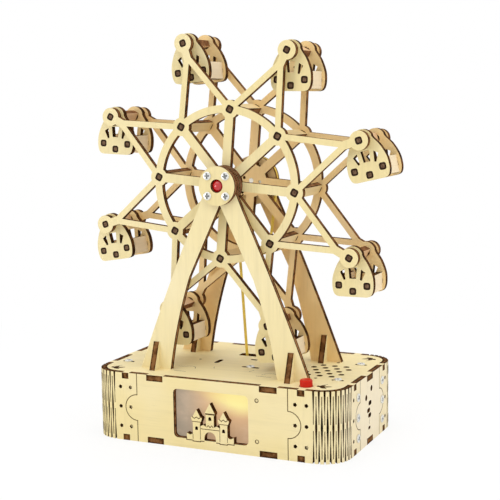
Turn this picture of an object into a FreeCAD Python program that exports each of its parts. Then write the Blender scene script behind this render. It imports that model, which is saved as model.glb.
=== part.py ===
import FreeCAD, Part
import os
from math import acos, atan2, cos, degrees, hypot, pi, radians, sin, tan

# Hand-cranked ferris wheel toy, built up from laser-cut plywood. Millimetres.
# Origin: centre of the base, on the surface that it stands on.
# +X is to the right of the lit window, +Y is to the rear and +Z is up.

# ---- driving dimensions ----------------------------------------------------
PLY = 3.0                    # thickness of every plywood sheet
BASE_WIDTH = 132.0
BASE_DEPTH = 81.0
BASE_HEIGHT = 34.0
CORNER_RADIUS = 13.5         # outside radius of the bent corners
CORNER_FLAT = 12.6           # flat end of a corner strip, either side of its bend
SEAM_GAP = 0.2               # laser cut between a panel and a corner strip

AXLE_HEIGHT = 125.5          # wheel axis above the ground
RING_RADIUS = 36.0           # centre line of the wheel's ring
EYE_RADIUS = 70.7            # gondola pivots, from the wheel axis
SEATS = 8                    # gondolas, spokes and crossbars
WHEEL_PHASE = 5.1            # degrees that the first spoke leans to the right
FRONT_FRAME_Y = -20.4        # front face of the front wheel frame
REAR_FRAME_Y = 10.1          # front face of the rear wheel frame
FRONT_LEG_Y = -26.4          # front face of the front A-frame
REAR_LEG_Y = 17.6            # front face of the rear A-frame

# ---- sizes worked out from them, and smaller sizes --------------------------
HALF_W = BASE_WIDTH / 2
HALF_D = BASE_DEPTH / 2
MID_Z = BASE_HEIGHT / 2
SEAM_X = HALF_W - CORNER_RADIUS - CORNER_FLAT
SEAM_Y = HALF_D - CORNER_RADIUS - CORNER_FLAT
KERF_SLATS = 16              # flat slats that a bent corner is cut into
KERF_WIDTH = 1.1             # widest part of a corner cut
KERF_BRIDGE = 1.7            # half the wood left at mid height in an open cut
KERF_END = 2.6               # wood left above and below a closed cut
TONGUE_RADIUS = 6.45         # round tongues that lock a panel to its neighbours
TONGUE_SIDES = 16
HOLE_ROW = 9.85              # screw rows above and below mid height
HOLE_INNER = 9.0             # screw columns, from the start of the bend
HOLE_OUTER = 3.4
PILOT_RADIUS = 0.85
BIG_TAB = (25.5, 34.5)       # tab positions from the middle, front and rear
SMALL_TAB = (44.5, 48.2)
SIDE_BIG_TAB = (-4.4, 4.4)
SIDE_SMALL_TAB = (19.7, 23.2)
STRAP_WIDTH = 13.0
STRAP_THICK = 2.0
STRAP_TOP = 24.0             # of the front and rear straps, below the button's switch

WINDOW_HALF = 19.8
WINDOW_LOW = 4.6
WINDOW_HIGH = 28.6
WINDOW_CORNER = 2.0
WINDOW_SCREW_X = 24.2

BELT_Y = 15.5                # plane of the drive belt
BELT_RADIUS = 0.6            # half the belt's thickness
BELT_LARGE = 11.8            # belt centre line on the wheel pulley
BELT_SMALL = 2.2             # belt centre line on the drive pulley
BELT_CLEAR = 0.05
DRIVE_X = -3.4               # drive shaft
DRIVE_Z = 25.0
PINION_TEETH = 10
GEAR_TEETH = 30
MODULE = 0.7
CRANK_Z = 19.0
GEAR_Y = 22.0
GEAR_PLATE_Y = (8.0, 28.0)   # front faces of the two plates that carry the shafts
CRANK_THROW = 13.0
CRANK_ARM_Y = HALF_D + 1.5
SHAFT_RADIUS = 1.0
SHAFT_CLEAR = 0.05
SHAFT_SIDES = 8              # flat facets round a shaft or a bore
HUB_SIDES = 16               # round a hub disc or a cap
SCREW_SIDES = 6              # round a screw head or a small stem
SMALL_SIDES = 5              # round a small screw hole

AXLE_RADIUS = 1.25
HUB_RADIUS = 9.4             # caps, A-frame tops and the wheel's hub disc
HUB_HOLE = 3.2
HUB_SCREW = 4.75             # hub cap screws, across and up from the axis
SCREW_HEAD = 1.65
SCREW_HEAD_HEIGHT = 0.7
WHEEL_HUB = 9.0              # corners of the wheel frame's eight-sided hub
RING_WIDTH = 4.0
SPOKE_WIDTH = 4.4
ARM_WIDTH = 2.9
PAD_RADIUS = 4.4
PAD_SIDES = 8
EYE_OUTER = 4.5
EYE_SIDES = 8
RING_STEPS = 3               # flat facets of the ring from one spoke to the next
ARMS_MEET = 64.0             # where the middles of two arms meet, from the axis
NECK_WIDTH = 4.0
TENON = 3.1                  # square tenons, and the strips that carry gondolas
TENON_FIT = 0.05
BAR_WIDTH = 5.0

LEG_FOOT_IN = 28.6           # inner and outer corner of a foot
LEG_FOOT_OUT = 45.0
LEG_OUT_TOP = (11.9, 113.4)  # a point high on the outer edge
LEG_OUT_BOW = (32.3, 66.5)   # and one lower down, where it bows out a little
LEG_KNEE = (17.1, 81.0)      # where the inner edge turns from straight to curved
LEG_CALF = (23.4, 60.0)
LEG_CROTCH_Z = 116.5
GUSSET_X = 36.0
GUSSET_TOP = 47.5
GUSSET_HALF = 5.5
GUSSET_SPLIT = 41.0          # leg and gusset slot into each other up to here
LEG_TABS = ((30.2, 33.2), (39.2, 43.2))

CAR_FRONT_Y = -15.3          # front face of a gondola's front plate
CAR_DEPTH = 21.4             # over both side plates
CAR_TOP_RADIUS = 5.0
CAR_HOLE = 2.27              # turns round the corners of a square strip
CAR_HOLE_SIDES = 8
CAR_BOARD_X = 6.9            # centre of an end board
CAR_BOARD_Z = -13.5
CAR_BOARD_HEIGHT = 8.2
CAR_FLOOR_Z = -16.2
# Degrees that each gondola leans to the right at rest, held by friction on its strip.
CAR_LEAN = (-5.3, 1.2, -12.8, -0.3, -6.6, -1.8, -9.1, 2.7)

BUTTON_X = 46.0
BUTTON_Y = -32.6
BUTTON_RADIUS = 3.0
BUTTON_TOP = 37.8
SPEAKER_X = 44.65
SPEAKER_Y = -1.2
SPEAKER_PITCH = 6.06
SPEAKER_HOLE = 1.33
SPEAKER_SIDES = 6

CASTLE_X = -0.3              # middle of the castle in the window
TOWER_X = 7.17               # outer towers, from its middle
CASTLE_HALF = 12.5

V = FreeCAD.Vector
ORIGIN = V(0, 0, 0)


# ---- flat shapes, drawn in the XY plane -------------------------------------
def polygon(points):
    corners = [V(x, y, 0) for x, y in points]
    return Part.makePolygon(corners + corners[:1])


def rectangle(x0, y0, x1, y1):
    return polygon([(x0, y0), (x1, y0), (x1, y1), (x0, y1)])


def bar_outline(start, end, width):
    """Rectangle of the given width about the line from start to end."""
    length = hypot(end[0] - start[0], end[1] - start[1])
    across_x = -(end[1] - start[1]) / length * width / 2
    across_y = (end[0] - start[0]) / length * width / 2
    return polygon([(start[0] + across_x, start[1] + across_y),
                    (end[0] + across_x, end[1] + across_y),
                    (end[0] - across_x, end[1] - across_y),
                    (start[0] - across_x, start[1] - across_y)])


def turned_square(x, y, side, angle):
    """Square about (x, y), turned clockwise from upright by the angle in degrees."""
    reach = side / 2 ** 0.5
    corners = [radians(45 + 90 * k - angle) for k in range(4)]
    return polygon([(x + reach * cos(a), y + reach * sin(a)) for a in corners])


def arc_points(x, y, radius, start, end, steps):
    """Points along an arc, angles in degrees, both ends included."""
    angles = [radians(start + (end - start) * k / steps) for k in range(steps + 1)]
    return [(x + radius * cos(a), y + radius * sin(a)) for a in angles]


def disc(x, y, radius, sides):
    """Regular polygon with its corners at this radius."""
    return polygon(arc_points(x, y, radius, 0, 360, sides)[:-1])


def hole(x, y, radius, sides):
    """Regular polygon whose flats touch a circle of this radius."""
    return disc(x, y, radius / cos(pi / sides), sides)


def rounded_points(half_x, half_y, radius, steps):
    """Rounded rectangle about the origin, each corner in flat steps."""
    x, y = half_x - radius, half_y - radius
    return (arc_points(x, y, radius, 0, 90, steps) + arc_points(-x, y, radius, 90, 180, steps)
            + arc_points(-x, -y, radius, 180, 270, steps) + arc_points(x, -y, radius, 270, 360, steps))


def mirrored(points):
    """The points, then their mirror images in X in reverse order."""
    return points + [(-x, y) for x, y in reversed(points)]


def flat(outers, holes=()):
    """Flat face: overlapping outlines joined into one, less the holes."""
    faces = [Part.Face(Part.Plane(), wire) for wire in outers]
    face = faces[0]
    if len(faces) > 1:
        face = face.multiFuse(faces[1:]).removeSplitter()
    if holes:
        face = face.cut([Part.Face(Part.Plane(), wire) for wire in holes])
    return face


def sheet(face, thickness=PLY):
    """Flat face in XY to a single solid that stands on Z = 0."""
    solid, = face.extrude(V(0, 0, thickness)).Solids
    return solid


# ---- placing sheets and round pieces ----------------------------------------
def facing_front(solid, y_front, thickness=PLY):
    """Stands a sheet up: its X stays X and its Y becomes Z."""
    solid.rotate(ORIGIN, V(1, 0, 0), 90)
    solid.translate(V(0, y_front + thickness, 0))
    return solid


def facing_side(solid, x_low):
    """Stands a sheet up: its X becomes Y and its Y becomes Z."""
    solid.rotate(ORIGIN, V(1, 1, 1), 120)
    solid.translate(V(x_low, 0, 0))
    return solid


def lying(solid, z_low):
    solid.translate(V(0, 0, z_low))
    return solid


def rod(x, z, y0, y1, radius, sides=SHAFT_SIDES):
    """Bar along Y, round in flat facets."""
    return facing_front(sheet(flat([disc(x, z, radius, sides)]), y1 - y0), y0, y1 - y0)


def turned(profile, x, z, sides):
    """Solid round a Y axis from (radius, y) points, in flat facets."""
    rings = [[V(r * cos(2 * pi * k / sides), y, r * sin(2 * pi * k / sides)) for k in range(sides)]
             for r, y in profile]
    faces = []
    for ring, after in zip(rings, rings[1:] + rings[:1]):
        for k in range(sides):
            m = (k + 1) % sides
            corners = [ring[k], ring[m], after[m], after[k]]
            kept = [c for i, c in enumerate(corners) if c.distanceToPoint(corners[i - 1]) > 1e-6]
            if len(kept) > 2:
                faces.append(Part.Face(Part.makePolygon(kept + kept[:1])))
    solid = Part.makeSolid(Part.makeShell(faces)).removeSplitter()
    solid.translate(V(x, 0, z))
    return solid


def stood_up(solid, x, y):
    """Turns a solid from round the Y axis to round an upright axis at (x, y)."""
    solid.rotate(ORIGIN, V(1, 0, 0), 90)
    solid.translate(V(x, y, 0))
    return solid


def mirror_x(solid):
    return solid.mirror(ORIGIN, V(1, 0, 0))


def mirror_y(solid):
    return solid.mirror(ORIGIN, V(0, 1, 0))


def seat_angle(number):
    """Angle of a spoke from upright, clockwise from the front, in degrees."""
    return WHEEL_PHASE + 360.0 / SEATS * number


def eye_angle(number):
    """Angle of a gondola, half a step ahead of its spoke."""
    return seat_angle(number) - 180.0 / SEATS


def polar(radius, angle):
    """Point at an angle clockwise from upright, about the wheel axis."""
    return radius * sin(radians(angle)), AXLE_HEIGHT + radius * cos(radians(angle))


# ---- base box ---------------------------------------------------------------
def tab_spans():
    """Tabs on the long edges of a plate, as X ranges."""
    spans = [BIG_TAB, SMALL_TAB]
    return spans + [(-b, -a) for a, b in spans]


def side_tab_spans():
    """Tabs on the short edges of a plate, as Y ranges."""
    low, high = SIDE_SMALL_TAB
    return [SIDE_BIG_TAB, (low, high), (-high, -low)]


def plate_outlines():
    """Top and bottom plate: the inside of the walls, with tabs out through them."""
    steps = KERF_SLATS // 4
    outlines = [polygon(rounded_points(HALF_W - PLY, HALF_D - PLY, CORNER_RADIUS - PLY, steps))]
    for side in (-1, 1):
        for a, b in tab_spans():
            outlines.append(rectangle(a, side * (HALF_D - 2 * PLY), b, side * HALF_D))
        for a, b in side_tab_spans():
            outlines.append(rectangle(side * (HALF_W - 2 * PLY), a, side * HALF_W, b))
    return outlines


def bottom_plate():
    return sheet(flat(plate_outlines()))


def slot(x, y, length, width):
    return rectangle(x - length / 2, y - width / 2, x + length / 2, y + width / 2)


def plate_screws():
    """Screws that hold the top plate down: place, and length and width of their slots."""
    left = [(-57.2, -18.4, 6.6, 1.8), (-58.0, 17.6, 6.6, 1.8)]
    right = [(55.8, -17.2, 6.2, 1.9), (55.8, 16.6, 6.2, 1.9)]
    return left + right + [(6.6, -8.3, 9.6, 2.0)]


def speaker_holes():
    row_step = SPEAKER_PITCH * sin(pi / 3)
    places = []
    for row in range(-2, 3):
        count = 4 if row % 2 else 3
        for k in range(count):
            x = SPEAKER_X + (k - (count - 1) / 2) * SPEAKER_PITCH
            places.append((x, SPEAKER_Y + row * row_step))
    return places


def leg_slots(y_front):
    """Slots in the top plate for an A-frame's tabs and its two gussets."""
    wires = []
    for side in (-1, 1):
        for a, b in LEG_TABS:
            wires.append(rectangle(side * a, y_front, side * b, y_front + PLY))
        wires.append(slot(side * GUSSET_X, y_front + PLY / 2, PLY, 2 * PLY))
    return wires


def belt_strand_x(side, z):
    """X of a belt strand's centre line at a height: side -1 is the left strand."""
    top = side * BELT_LARGE
    foot = DRIVE_X + side * BELT_SMALL
    return foot + (top - foot) * (z - DRIVE_Z) / (AXLE_HEIGHT - DRIVE_Z)


def top_plate():
    belt_left = belt_strand_x(-1, BASE_HEIGHT) - 4.4
    belt_right = belt_strand_x(1, BASE_HEIGHT) + 2.0
    holes = [rectangle(belt_left, BELT_Y - 1.1, belt_right, BELT_Y + 4.1),
             slot(1.5, 7.5, 3.2, 1.4),
             rectangle(-14.9, -5.6, -13.2, 1.8),
             hole(-25.0, -1.0, 0.7, SMALL_SIDES),
             hole(44.5, -16.9, 0.9, SMALL_SIDES),
             hole(43.8, 16.6, 0.9, SMALL_SIDES),
             hole(BUTTON_X, BUTTON_Y, BUTTON_RADIUS + 0.3, SHAFT_SIDES)]
    holes += [slot(*place_and_size) for place_and_size in plate_screws()]
    holes += [hole(x, y, SPEAKER_HOLE, SPEAKER_SIDES) for x, y in speaker_holes()]
    holes += leg_slots(FRONT_LEG_Y) + leg_slots(REAR_LEG_Y)
    return lying(sheet(flat(plate_outlines(), holes)), BASE_HEIGHT - PLY)


def edge_notches(spans):
    """Notches at the top and bottom edge of a wall, where the plates' tabs pass."""
    notches = []
    for a, b in spans:
        notches.append(rectangle(a, 0, b, PLY))
        notches.append(rectangle(a, BASE_HEIGHT - PLY, b, BASE_HEIGHT))
    return notches


def wall_face(seam, spans, cut_outs=()):
    """Wall between two corner strips, with a round tongue into each strip."""
    half = seam - SEAM_GAP / 2
    outlines = [rectangle(-half, 0, half, BASE_HEIGHT)]
    outlines += [hole(side * seam, MID_Z, TONGUE_RADIUS - SEAM_GAP / 2, TONGUE_SIDES) for side in (-1, 1)]
    return flat(outlines, edge_notches(spans) + list(cut_outs))


def tongue_pilots():
    """Screw holes through the round tongues of the front and rear walls."""
    x = HALF_W - CORNER_RADIUS - HOLE_INNER
    return [hole(side * x, MID_Z, PILOT_RADIUS, SMALL_SIDES) for side in (-1, 1)]


def front_panel():
    corner = WINDOW_CORNER
    mid = (WINDOW_LOW + WINDOW_HIGH) / 2
    window = [(x, y + mid) for x, y in
              rounded_points(WINDOW_HALF, (WINDOW_HIGH - WINDOW_LOW) / 2, corner, 3)]
    cut_outs = [polygon(window)] + tongue_pilots()
    cut_outs += [hole(WINDOW_SCREW_X, MID_Z + dz, 0.7, SMALL_SIDES) for dz in (-HOLE_ROW, HOLE_ROW)]
    spans = [BIG_TAB, (-BIG_TAB[1], -BIG_TAB[0])]
    face = wall_face(SEAM_X, spans, cut_outs)
    return facing_front(sheet(face), -HALF_D)


def crank_x():
    """X of the crank shaft: the gear meshes with the pinion at this distance."""
    centres = MODULE * (PINION_TEETH + GEAR_TEETH) / 2
    rise = DRIVE_Z - CRANK_Z
    return DRIVE_X + (centres ** 2 - rise ** 2) ** 0.5


def rear_panel():
    spans = [BIG_TAB, (-BIG_TAB[1], -BIG_TAB[0])]
    cut_outs = [hole(crank_x(), CRANK_Z, SHAFT_RADIUS + SHAFT_CLEAR, SHAFT_SIDES)]
    face = wall_face(SEAM_X, spans, cut_outs + tongue_pilots())
    return facing_front(sheet(face), HALF_D - PLY)


def vent_slots():
    """Row of small slots and holes down the middle of a side panel."""
    holes = [hole(2.2, 26.6, 1.2, SPEAKER_SIDES), hole(-5.6, 23.5, 1.2, SPEAKER_SIDES)]
    holes += [slot(y, z, 4.0, 1.75) for y, z in ((0, 19.85), (-2.1, 16.6), (-0.45, 13.85))]
    holes.append(slot(-0.9, 7.7, 2.9, 1.2))
    return holes


def side_panel(x_low):
    face = wall_face(SEAM_Y, [SIDE_BIG_TAB], vent_slots())
    return facing_side(sheet(face), x_low)


def kerf_cut(angle, points):
    """Thin blade through a bent corner, radial at the angle from the side's normal.

    points are (width, z) pairs of the blade's outline as seen along the radius.
    """
    blade = sheet(flat([polygon(points)]), 2 * PLY)
    blade.rotate(ORIGIN, V(1, 1, 1), 120)
    blade.translate(V(CORNER_RADIUS - 1.5 * PLY, 0, 0))
    blade.rotate(ORIGIN, V(0, 0, 1), angle)
    blade.translate(V(HALF_W - CORNER_RADIUS, HALF_D - CORNER_RADIUS, 0))
    return blade


def kerf_cuts():
    """Cuts that let a corner bend: open ones from both edges, closed ones between."""
    half = KERF_WIDTH / 2
    over = 1.0
    cuts = []
    for number in range(KERF_SLATS + 1):
        angle = 90.0 * number / KERF_SLATS
        if number % 2 == 0:
            low = MID_Z - KERF_BRIDGE
            high = MID_Z + KERF_BRIDGE
            top = BASE_HEIGHT + over
            cuts.append(kerf_cut(angle, [(0, high), (half, top), (-half, top)]))
            cuts.append(kerf_cut(angle, [(0, low), (half, -over), (-half, -over)]))
        else:
            low = KERF_END
            high = BASE_HEIGHT - KERF_END
            cuts.append(kerf_cut(angle, [(0, low), (half, MID_Z), (0, high), (-half, MID_Z)]))
    return cuts


def corner_strip():
    """Strip bent round the right rear corner, before it is mirrored to the others."""
    cx = HALF_W - CORNER_RADIUS
    cy = HALF_D - CORNER_RADIUS
    outside = arc_points(cx, cy, CORNER_RADIUS, 0, 90, KERF_SLATS // 2)
    inside = arc_points(cx, cy, CORNER_RADIUS - PLY, 90, 0, KERF_SLATS // 2)
    x_end = SEAM_X + SEAM_GAP / 2
    y_end = SEAM_Y + SEAM_GAP / 2
    plan = ([(HALF_W, y_end)] + outside + [(x_end, HALF_D), (x_end, HALF_D - PLY)]
            + inside + [(HALF_W - PLY, y_end)])
    strip = sheet(flat([polygon(plan)]), BASE_HEIGHT)
    tools = kerf_cuts()
    reach = TONGUE_RADIUS + SEAM_GAP / 2
    along_y = [(reach, SEAM_X, MID_Z)]
    along_x = [(reach, SEAM_Y, MID_Z)]
    for dz in (-HOLE_ROW, 0, HOLE_ROW):
        along_y.append((PILOT_RADIUS, cx - HOLE_OUTER, MID_Z + dz))
        along_x.append((PILOT_RADIUS, cy - HOLE_OUTER, MID_Z + dz))
        if dz:
            along_y.append((PILOT_RADIUS, cx - HOLE_INNER, MID_Z + dz))
    for radius, x, z in along_y:
        sides = TONGUE_SIDES if radius == reach else SMALL_SIDES
        drill = sheet(flat([hole(x, z, radius, sides)]), 3 * PLY)
        tools.append(facing_front(drill, HALF_D - 2 * PLY, 3 * PLY))
    for radius, y, z in along_x:
        sides = TONGUE_SIDES if radius == reach else SMALL_SIDES
        drill = sheet(flat([hole(y, z, radius, sides)]), 3 * PLY)
        tools.append(facing_side(drill, HALF_W - 2 * PLY))
    for z in (0, BASE_HEIGHT - PLY):
        a, b = SMALL_TAB
        tools.append(Part.makeBox(b - a, 2 * PLY, PLY, V(a, HALF_D - 1.5 * PLY, z)))
        a, b = SIDE_SMALL_TAB
        tools.append(Part.makeBox(2 * PLY, b - a, PLY, V(HALF_W - 1.5 * PLY, a, z)))
    solid, = strip.cut(tools).Solids
    return solid


def seam_straps():
    """Plywood straps inside the box, behind the eight seams."""
    low = PLY + 1.0
    on_rear = Part.makeBox(STRAP_WIDTH, STRAP_THICK, STRAP_TOP - low,
                           V(SEAM_X - 1.5, HALF_D - PLY - STRAP_THICK, low))
    on_side = Part.makeBox(STRAP_THICK, STRAP_WIDTH, BASE_HEIGHT - 2 * low,
                           V(HALF_W - PLY - STRAP_THICK, SEAM_Y - 1.5, low))
    quarter = [on_rear, on_side]
    half = quarter + [mirror_x(strap) for strap in quarter]
    return Part.makeCompound(half + [mirror_y(strap) for strap in half])


def screw():
    """Small screw head, its underside on Z = 0."""
    return sheet(flat([disc(0, 0, SCREW_HEAD, SCREW_SIDES)]), SCREW_HEAD_HEIGHT)


def case_screws():
    """Side screws at the seams, top plate screws and the hub cap screws."""
    screws = []
    for dz in (-HOLE_ROW, 0, HOLE_ROW):
        piece = screw()
        piece.rotate(ORIGIN, V(0, 1, 0), 90)
        piece.translate(V(HALF_W, HALF_D - CORNER_RADIUS - HOLE_INNER, MID_Z + dz))
        quarter = [piece, mirror_x(piece)]
        screws += quarter + [mirror_y(other) for other in quarter]
    for x, y, _, _ in plate_screws():
        piece = screw()
        piece.translate(V(x, y, BASE_HEIGHT))
        screws.append(piece)
    for side in (-1, 1):
        for rise in (-1, 1):
            front = screw()
            front.rotate(ORIGIN, V(1, 0, 0), 90)
            rear = mirror_y(front)
            front.translate(V(side * HUB_SCREW, FRONT_LEG_Y - PLY, AXLE_HEIGHT + rise * HUB_SCREW))
            rear.translate(V(side * HUB_SCREW, REAR_LEG_Y + 2 * PLY, AXLE_HEIGHT + rise * HUB_SCREW))
            screws += [front, rear]
    return Part.makeCompound(screws)


def window_diffuser():
    """Frosted sheet behind the window."""
    outline = rectangle(-WINDOW_HALF - 1.5, WINDOW_LOW - 1.2, WINDOW_HALF + 1.5, WINDOW_HIGH + 1.2)
    return facing_front(sheet(flat([outline]), 1.0), PLY - HALF_D, 1.0)


def toothed_wall(x0, x1, low, levels):
    """Wall outline whose top goes through these heights, at even steps from x0 to x1."""
    step = (x1 - x0) / (len(levels) - 1)
    top = [(x0 + step * k, level) for k, level in enumerate(levels)]
    return polygon([(x0, low)] + top + [(x1, low)])


def arched_window(x, z):
    return polygon(arc_points(x, z + 0.15, 0.78, 0, 180, 4) + [(x - 0.78, z - 0.9), (x + 0.78, z - 0.9)])


def castle_tower(x, low):
    """Outlines of an outer tower: shaft, flared crown and pointed roof."""
    crown = [(x + 2.0, 12.8), (x + 2.4, 13.6), (x + 2.95, 15.2), (x + 2.3, 15.85)]
    crown += [(2 * x - px, pz) for px, pz in reversed(crown)]
    return [rectangle(x - 1.98, low, x + 1.98, 14.0),
            polygon(crown),
            polygon([(x - 2.15, 15.6), (x + 2.15, 15.6), (x, 19.4)])]


def castle_cutout():
    """Small castle that stands on the sill in the window."""
    low = WINDOW_LOW
    mid = CASTLE_X
    gate = arc_points(mid, low + 1.35, 3.05, 0, 180, 8)
    dip, tip = 11.3, 12.2
    outlines = [toothed_wall(mid - 5.4, mid + 5.4, low, (dip, tip, dip, tip, dip, tip, dip)),
                rectangle(mid - 2.1, low + 5.5, mid + 2.1, 17.5),
                rectangle(mid - 2.5, 17.3, mid + 2.5, 18.2),
                polygon([(mid - 2.6, 18.2), (mid + 2.6, 18.2), (mid, 23.0)])]
    holes = [polygon([(mid + 3.05, low), *gate, (mid - 3.05, low)]), arched_window(mid, 15.5)]
    for side in (-1, 1):
        tower = mid + side * TOWER_X
        near, far = sorted((tower, mid + side * CASTLE_HALF))
        outlines += castle_tower(tower, low)
        outlines.append(toothed_wall(near, far, low, (7.0, 7.5, 6.7, 7.5) if side > 0 else (7.5, 6.7, 7.5, 7.0)))
        holes.append(arched_window(tower, 10.25))
    return facing_front(sheet(flat(outlines, holes)), -HALF_D)


# ---- A-frames ---------------------------------------------------------------
def leg_outline(side):
    """One leg, from its foot up to the hub; side is 1 for the right leg, -1 for the left."""
    top_x = LEG_OUT_TOP[0] - 0.42 * (AXLE_HEIGHT - LEG_OUT_TOP[1])
    corners = [(LEG_FOOT_IN, BASE_HEIGHT), LEG_CALF, LEG_KNEE, (0, LEG_CROTCH_Z), (0, AXLE_HEIGHT),
               (top_x, AXLE_HEIGHT), LEG_OUT_TOP, LEG_OUT_BOW, (LEG_FOOT_OUT, BASE_HEIGHT)]
    foot_in, calf, knee, crotch, middle, top, shoulder, bow, foot_out = [
        V(side * x, z, 0) for x, z in corners]
    edges = [Part.Arc(foot_in, calf, knee).toShape(),
             Part.LineSegment(knee, crotch).toShape(),
             Part.LineSegment(crotch, middle).toShape(),
             Part.LineSegment(middle, top).toShape(),
             Part.LineSegment(top, shoulder).toShape(),
             Part.Arc(shoulder, bow, foot_out).toShape(),
             Part.LineSegment(foot_out, foot_in).toShape()]
    return Part.Wire(edges)


def a_frame(y_front):
    outlines = [leg_outline(-1), leg_outline(1), disc(0, AXLE_HEIGHT, HUB_RADIUS, HUB_SIDES)]
    holes = [disc(0, AXLE_HEIGHT, HUB_HOLE, SHAFT_SIDES)]
    for side in (-1, 1):
        for a, b in LEG_TABS:
            outlines.append(rectangle(side * a, BASE_HEIGHT - PLY, side * b, BASE_HEIGHT + PLY))
        holes.append(rectangle(side * GUSSET_X - PLY / 2, BASE_HEIGHT - PLY,
                               side * GUSSET_X + PLY / 2, GUSSET_SPLIT))
    return facing_front(sheet(flat(outlines, holes)), y_front)


def gusset(side, y_front):
    """Three-cornered brace across the foot of a leg, halved with the leg."""
    mid = y_front + PLY / 2
    half = PLY / 2
    triangle = [(mid - GUSSET_HALF, BASE_HEIGHT), (mid - PLY, BASE_HEIGHT),
                (mid - PLY, BASE_HEIGHT - PLY), (mid + PLY, BASE_HEIGHT - PLY),
                (mid + PLY, BASE_HEIGHT), (mid + GUSSET_HALF, BASE_HEIGHT),
                (mid + half + 0.4, GUSSET_TOP), (mid + half, GUSSET_TOP),
                (mid + half, GUSSET_SPLIT), (mid - half, GUSSET_SPLIT),
                (mid - half, GUSSET_TOP), (mid - half - 0.4, GUSSET_TOP)]
    return facing_side(sheet(flat([polygon(triangle)])), side * GUSSET_X - PLY / 2)


def leg_gussets():
    return Part.makeCompound([gusset(side, y) for side in (-1, 1) for y in (FRONT_LEG_Y, REAR_LEG_Y)])


def hub_cap(y_front):
    """Disc screwed over the axle end, on the outside of an A-frame."""
    outline = disc(0, AXLE_HEIGHT, HUB_RADIUS, HUB_SIDES)
    return facing_front(sheet(flat([outline], [disc(0, AXLE_HEIGHT, HUB_HOLE, SHAFT_SIDES)])), y_front)


def hub_jewel():
    """Red domed lens in the hole of the front cap."""
    radius = HUB_HOLE - 0.5
    dome_height = 1.2
    dome_sphere = (radius ** 2 + dome_height ** 2) / (2 * dome_height)
    face_y = FRONT_LEG_Y - PLY
    half_angle = degrees(atan2(radius, dome_sphere - dome_height))
    centre_y = face_y - dome_height + dome_sphere
    dome = [(r, centre_y - y) for y, r in arc_points(0, 0, dome_sphere, 0, half_angle, 4)]
    flange = HUB_HOLE - 0.1
    profile = dome + [(radius, face_y + 0.8), (flange, face_y + 0.8),
                      (flange, FRONT_LEG_Y), (0, FRONT_LEG_Y)]
    return turned(profile, 0, AXLE_HEIGHT, SHAFT_SIDES)


def axle_bushings():
    """Sleeves that carry the wheel's pins, pressed into the A-frames."""
    bore = (AXLE_RADIUS + SHAFT_CLEAR) / cos(pi / SHAFT_SIDES)
    sleeves = []
    for y in (FRONT_LEG_Y, REAR_LEG_Y):
        profile = [(bore, y), (HUB_HOLE, y), (HUB_HOLE, y + PLY), (bore, y + PLY)]
        sleeves.append(turned(profile, 0, AXLE_HEIGHT, SHAFT_SIDES))
    return Part.makeCompound(sleeves)


# ---- wheel ------------------------------------------------------------------
def ring_sector(start):
    """Eighth part of the wheel's ring, in flat facets, clockwise from an angle."""
    steps = [start + 360.0 / SEATS * k / RING_STEPS for k in range(RING_STEPS + 1)]
    outer = [polar(RING_RADIUS + RING_WIDTH / 2, a) for a in steps]
    inner = [polar(RING_RADIUS - RING_WIDTH / 2, a) for a in reversed(steps)]
    return polygon(outer + inner)


def arm_pair(angle):
    """Two arms that run from neighbouring spokes to a gondola eye and merge in a neck."""
    half_step = pi / SEATS
    node_out = RING_RADIUS * cos(half_step)
    node_side = RING_RADIUS * sin(half_step)
    lean = atan2(node_side, ARMS_MEET - node_out)
    half = ARM_WIDTH / 2
    neck = NECK_WIDTH / 2
    outer = (node_out + half * sin(lean), node_side + half * cos(lean))
    inner = (node_out - half * sin(lean), node_side - half * cos(lean))
    merge = outer[0] + (outer[1] - neck) / tan(lean)
    right = [(EYE_RADIUS, neck), (merge, neck), outer, inner]
    crotch = (ARMS_MEET - half / sin(lean), 0)
    points = right + [crotch] + [(out, -side) for out, side in reversed(right)]
    along = (sin(radians(angle)), cos(radians(angle)))
    return polygon([(out * along[0] + side * along[1],
                     AXLE_HEIGHT + out * along[1] - side * along[0]) for out, side in points])


def wheel_frame_face():
    axis = (0, AXLE_HEIGHT)
    outlines = [polygon([polar(WHEEL_HUB, seat_angle(k)) for k in range(SEATS)])]
    holes = [disc(*axis, AXLE_RADIUS, SHAFT_SIDES)]
    for number in range(SEATS):
        node = polar(RING_RADIUS, seat_angle(number))
        eye = polar(EYE_RADIUS, eye_angle(number))
        outlines += [bar_outline(axis, node, SPOKE_WIDTH),
                     ring_sector(seat_angle(number - 1)),
                     disc(*node, PAD_RADIUS, PAD_SIDES),
                     disc(*eye, EYE_OUTER, EYE_SIDES),
                     arm_pair(eye_angle(number))]
        holes.append(turned_square(*eye, TENON + TENON_FIT, eye_angle(number)))
    return flat(outlines, holes)


def wheel_frame(y_front):
    return facing_front(sheet(wheel_frame_face()), y_front)


def crossbars():
    """Plywood strips between the two wheel frames, one at each spoke."""
    y_front = FRONT_FRAME_Y + PLY
    length = REAR_FRAME_Y - y_front
    bars = []
    for number in range(SEATS):
        bar = Part.makeBox(BAR_WIDTH, length, PLY, V(-BAR_WIDTH / 2, y_front, -PLY / 2))
        bar.rotate(ORIGIN, V(0, 1, 0), seat_angle(number))
        x, z = polar(RING_RADIUS, seat_angle(number))
        bar.translate(V(x, 0, z))
        bars.append(bar)
    return Part.makeCompound(bars)


def square_bar(x, z, y0, y1, side, angle):
    bar = Part.makeBox(side, y1 - y0, side, V(-side / 2, y0, -side / 2))
    bar.rotate(ORIGIN, V(0, 1, 0), angle)
    bar.translate(V(x, 0, z))
    return bar


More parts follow.
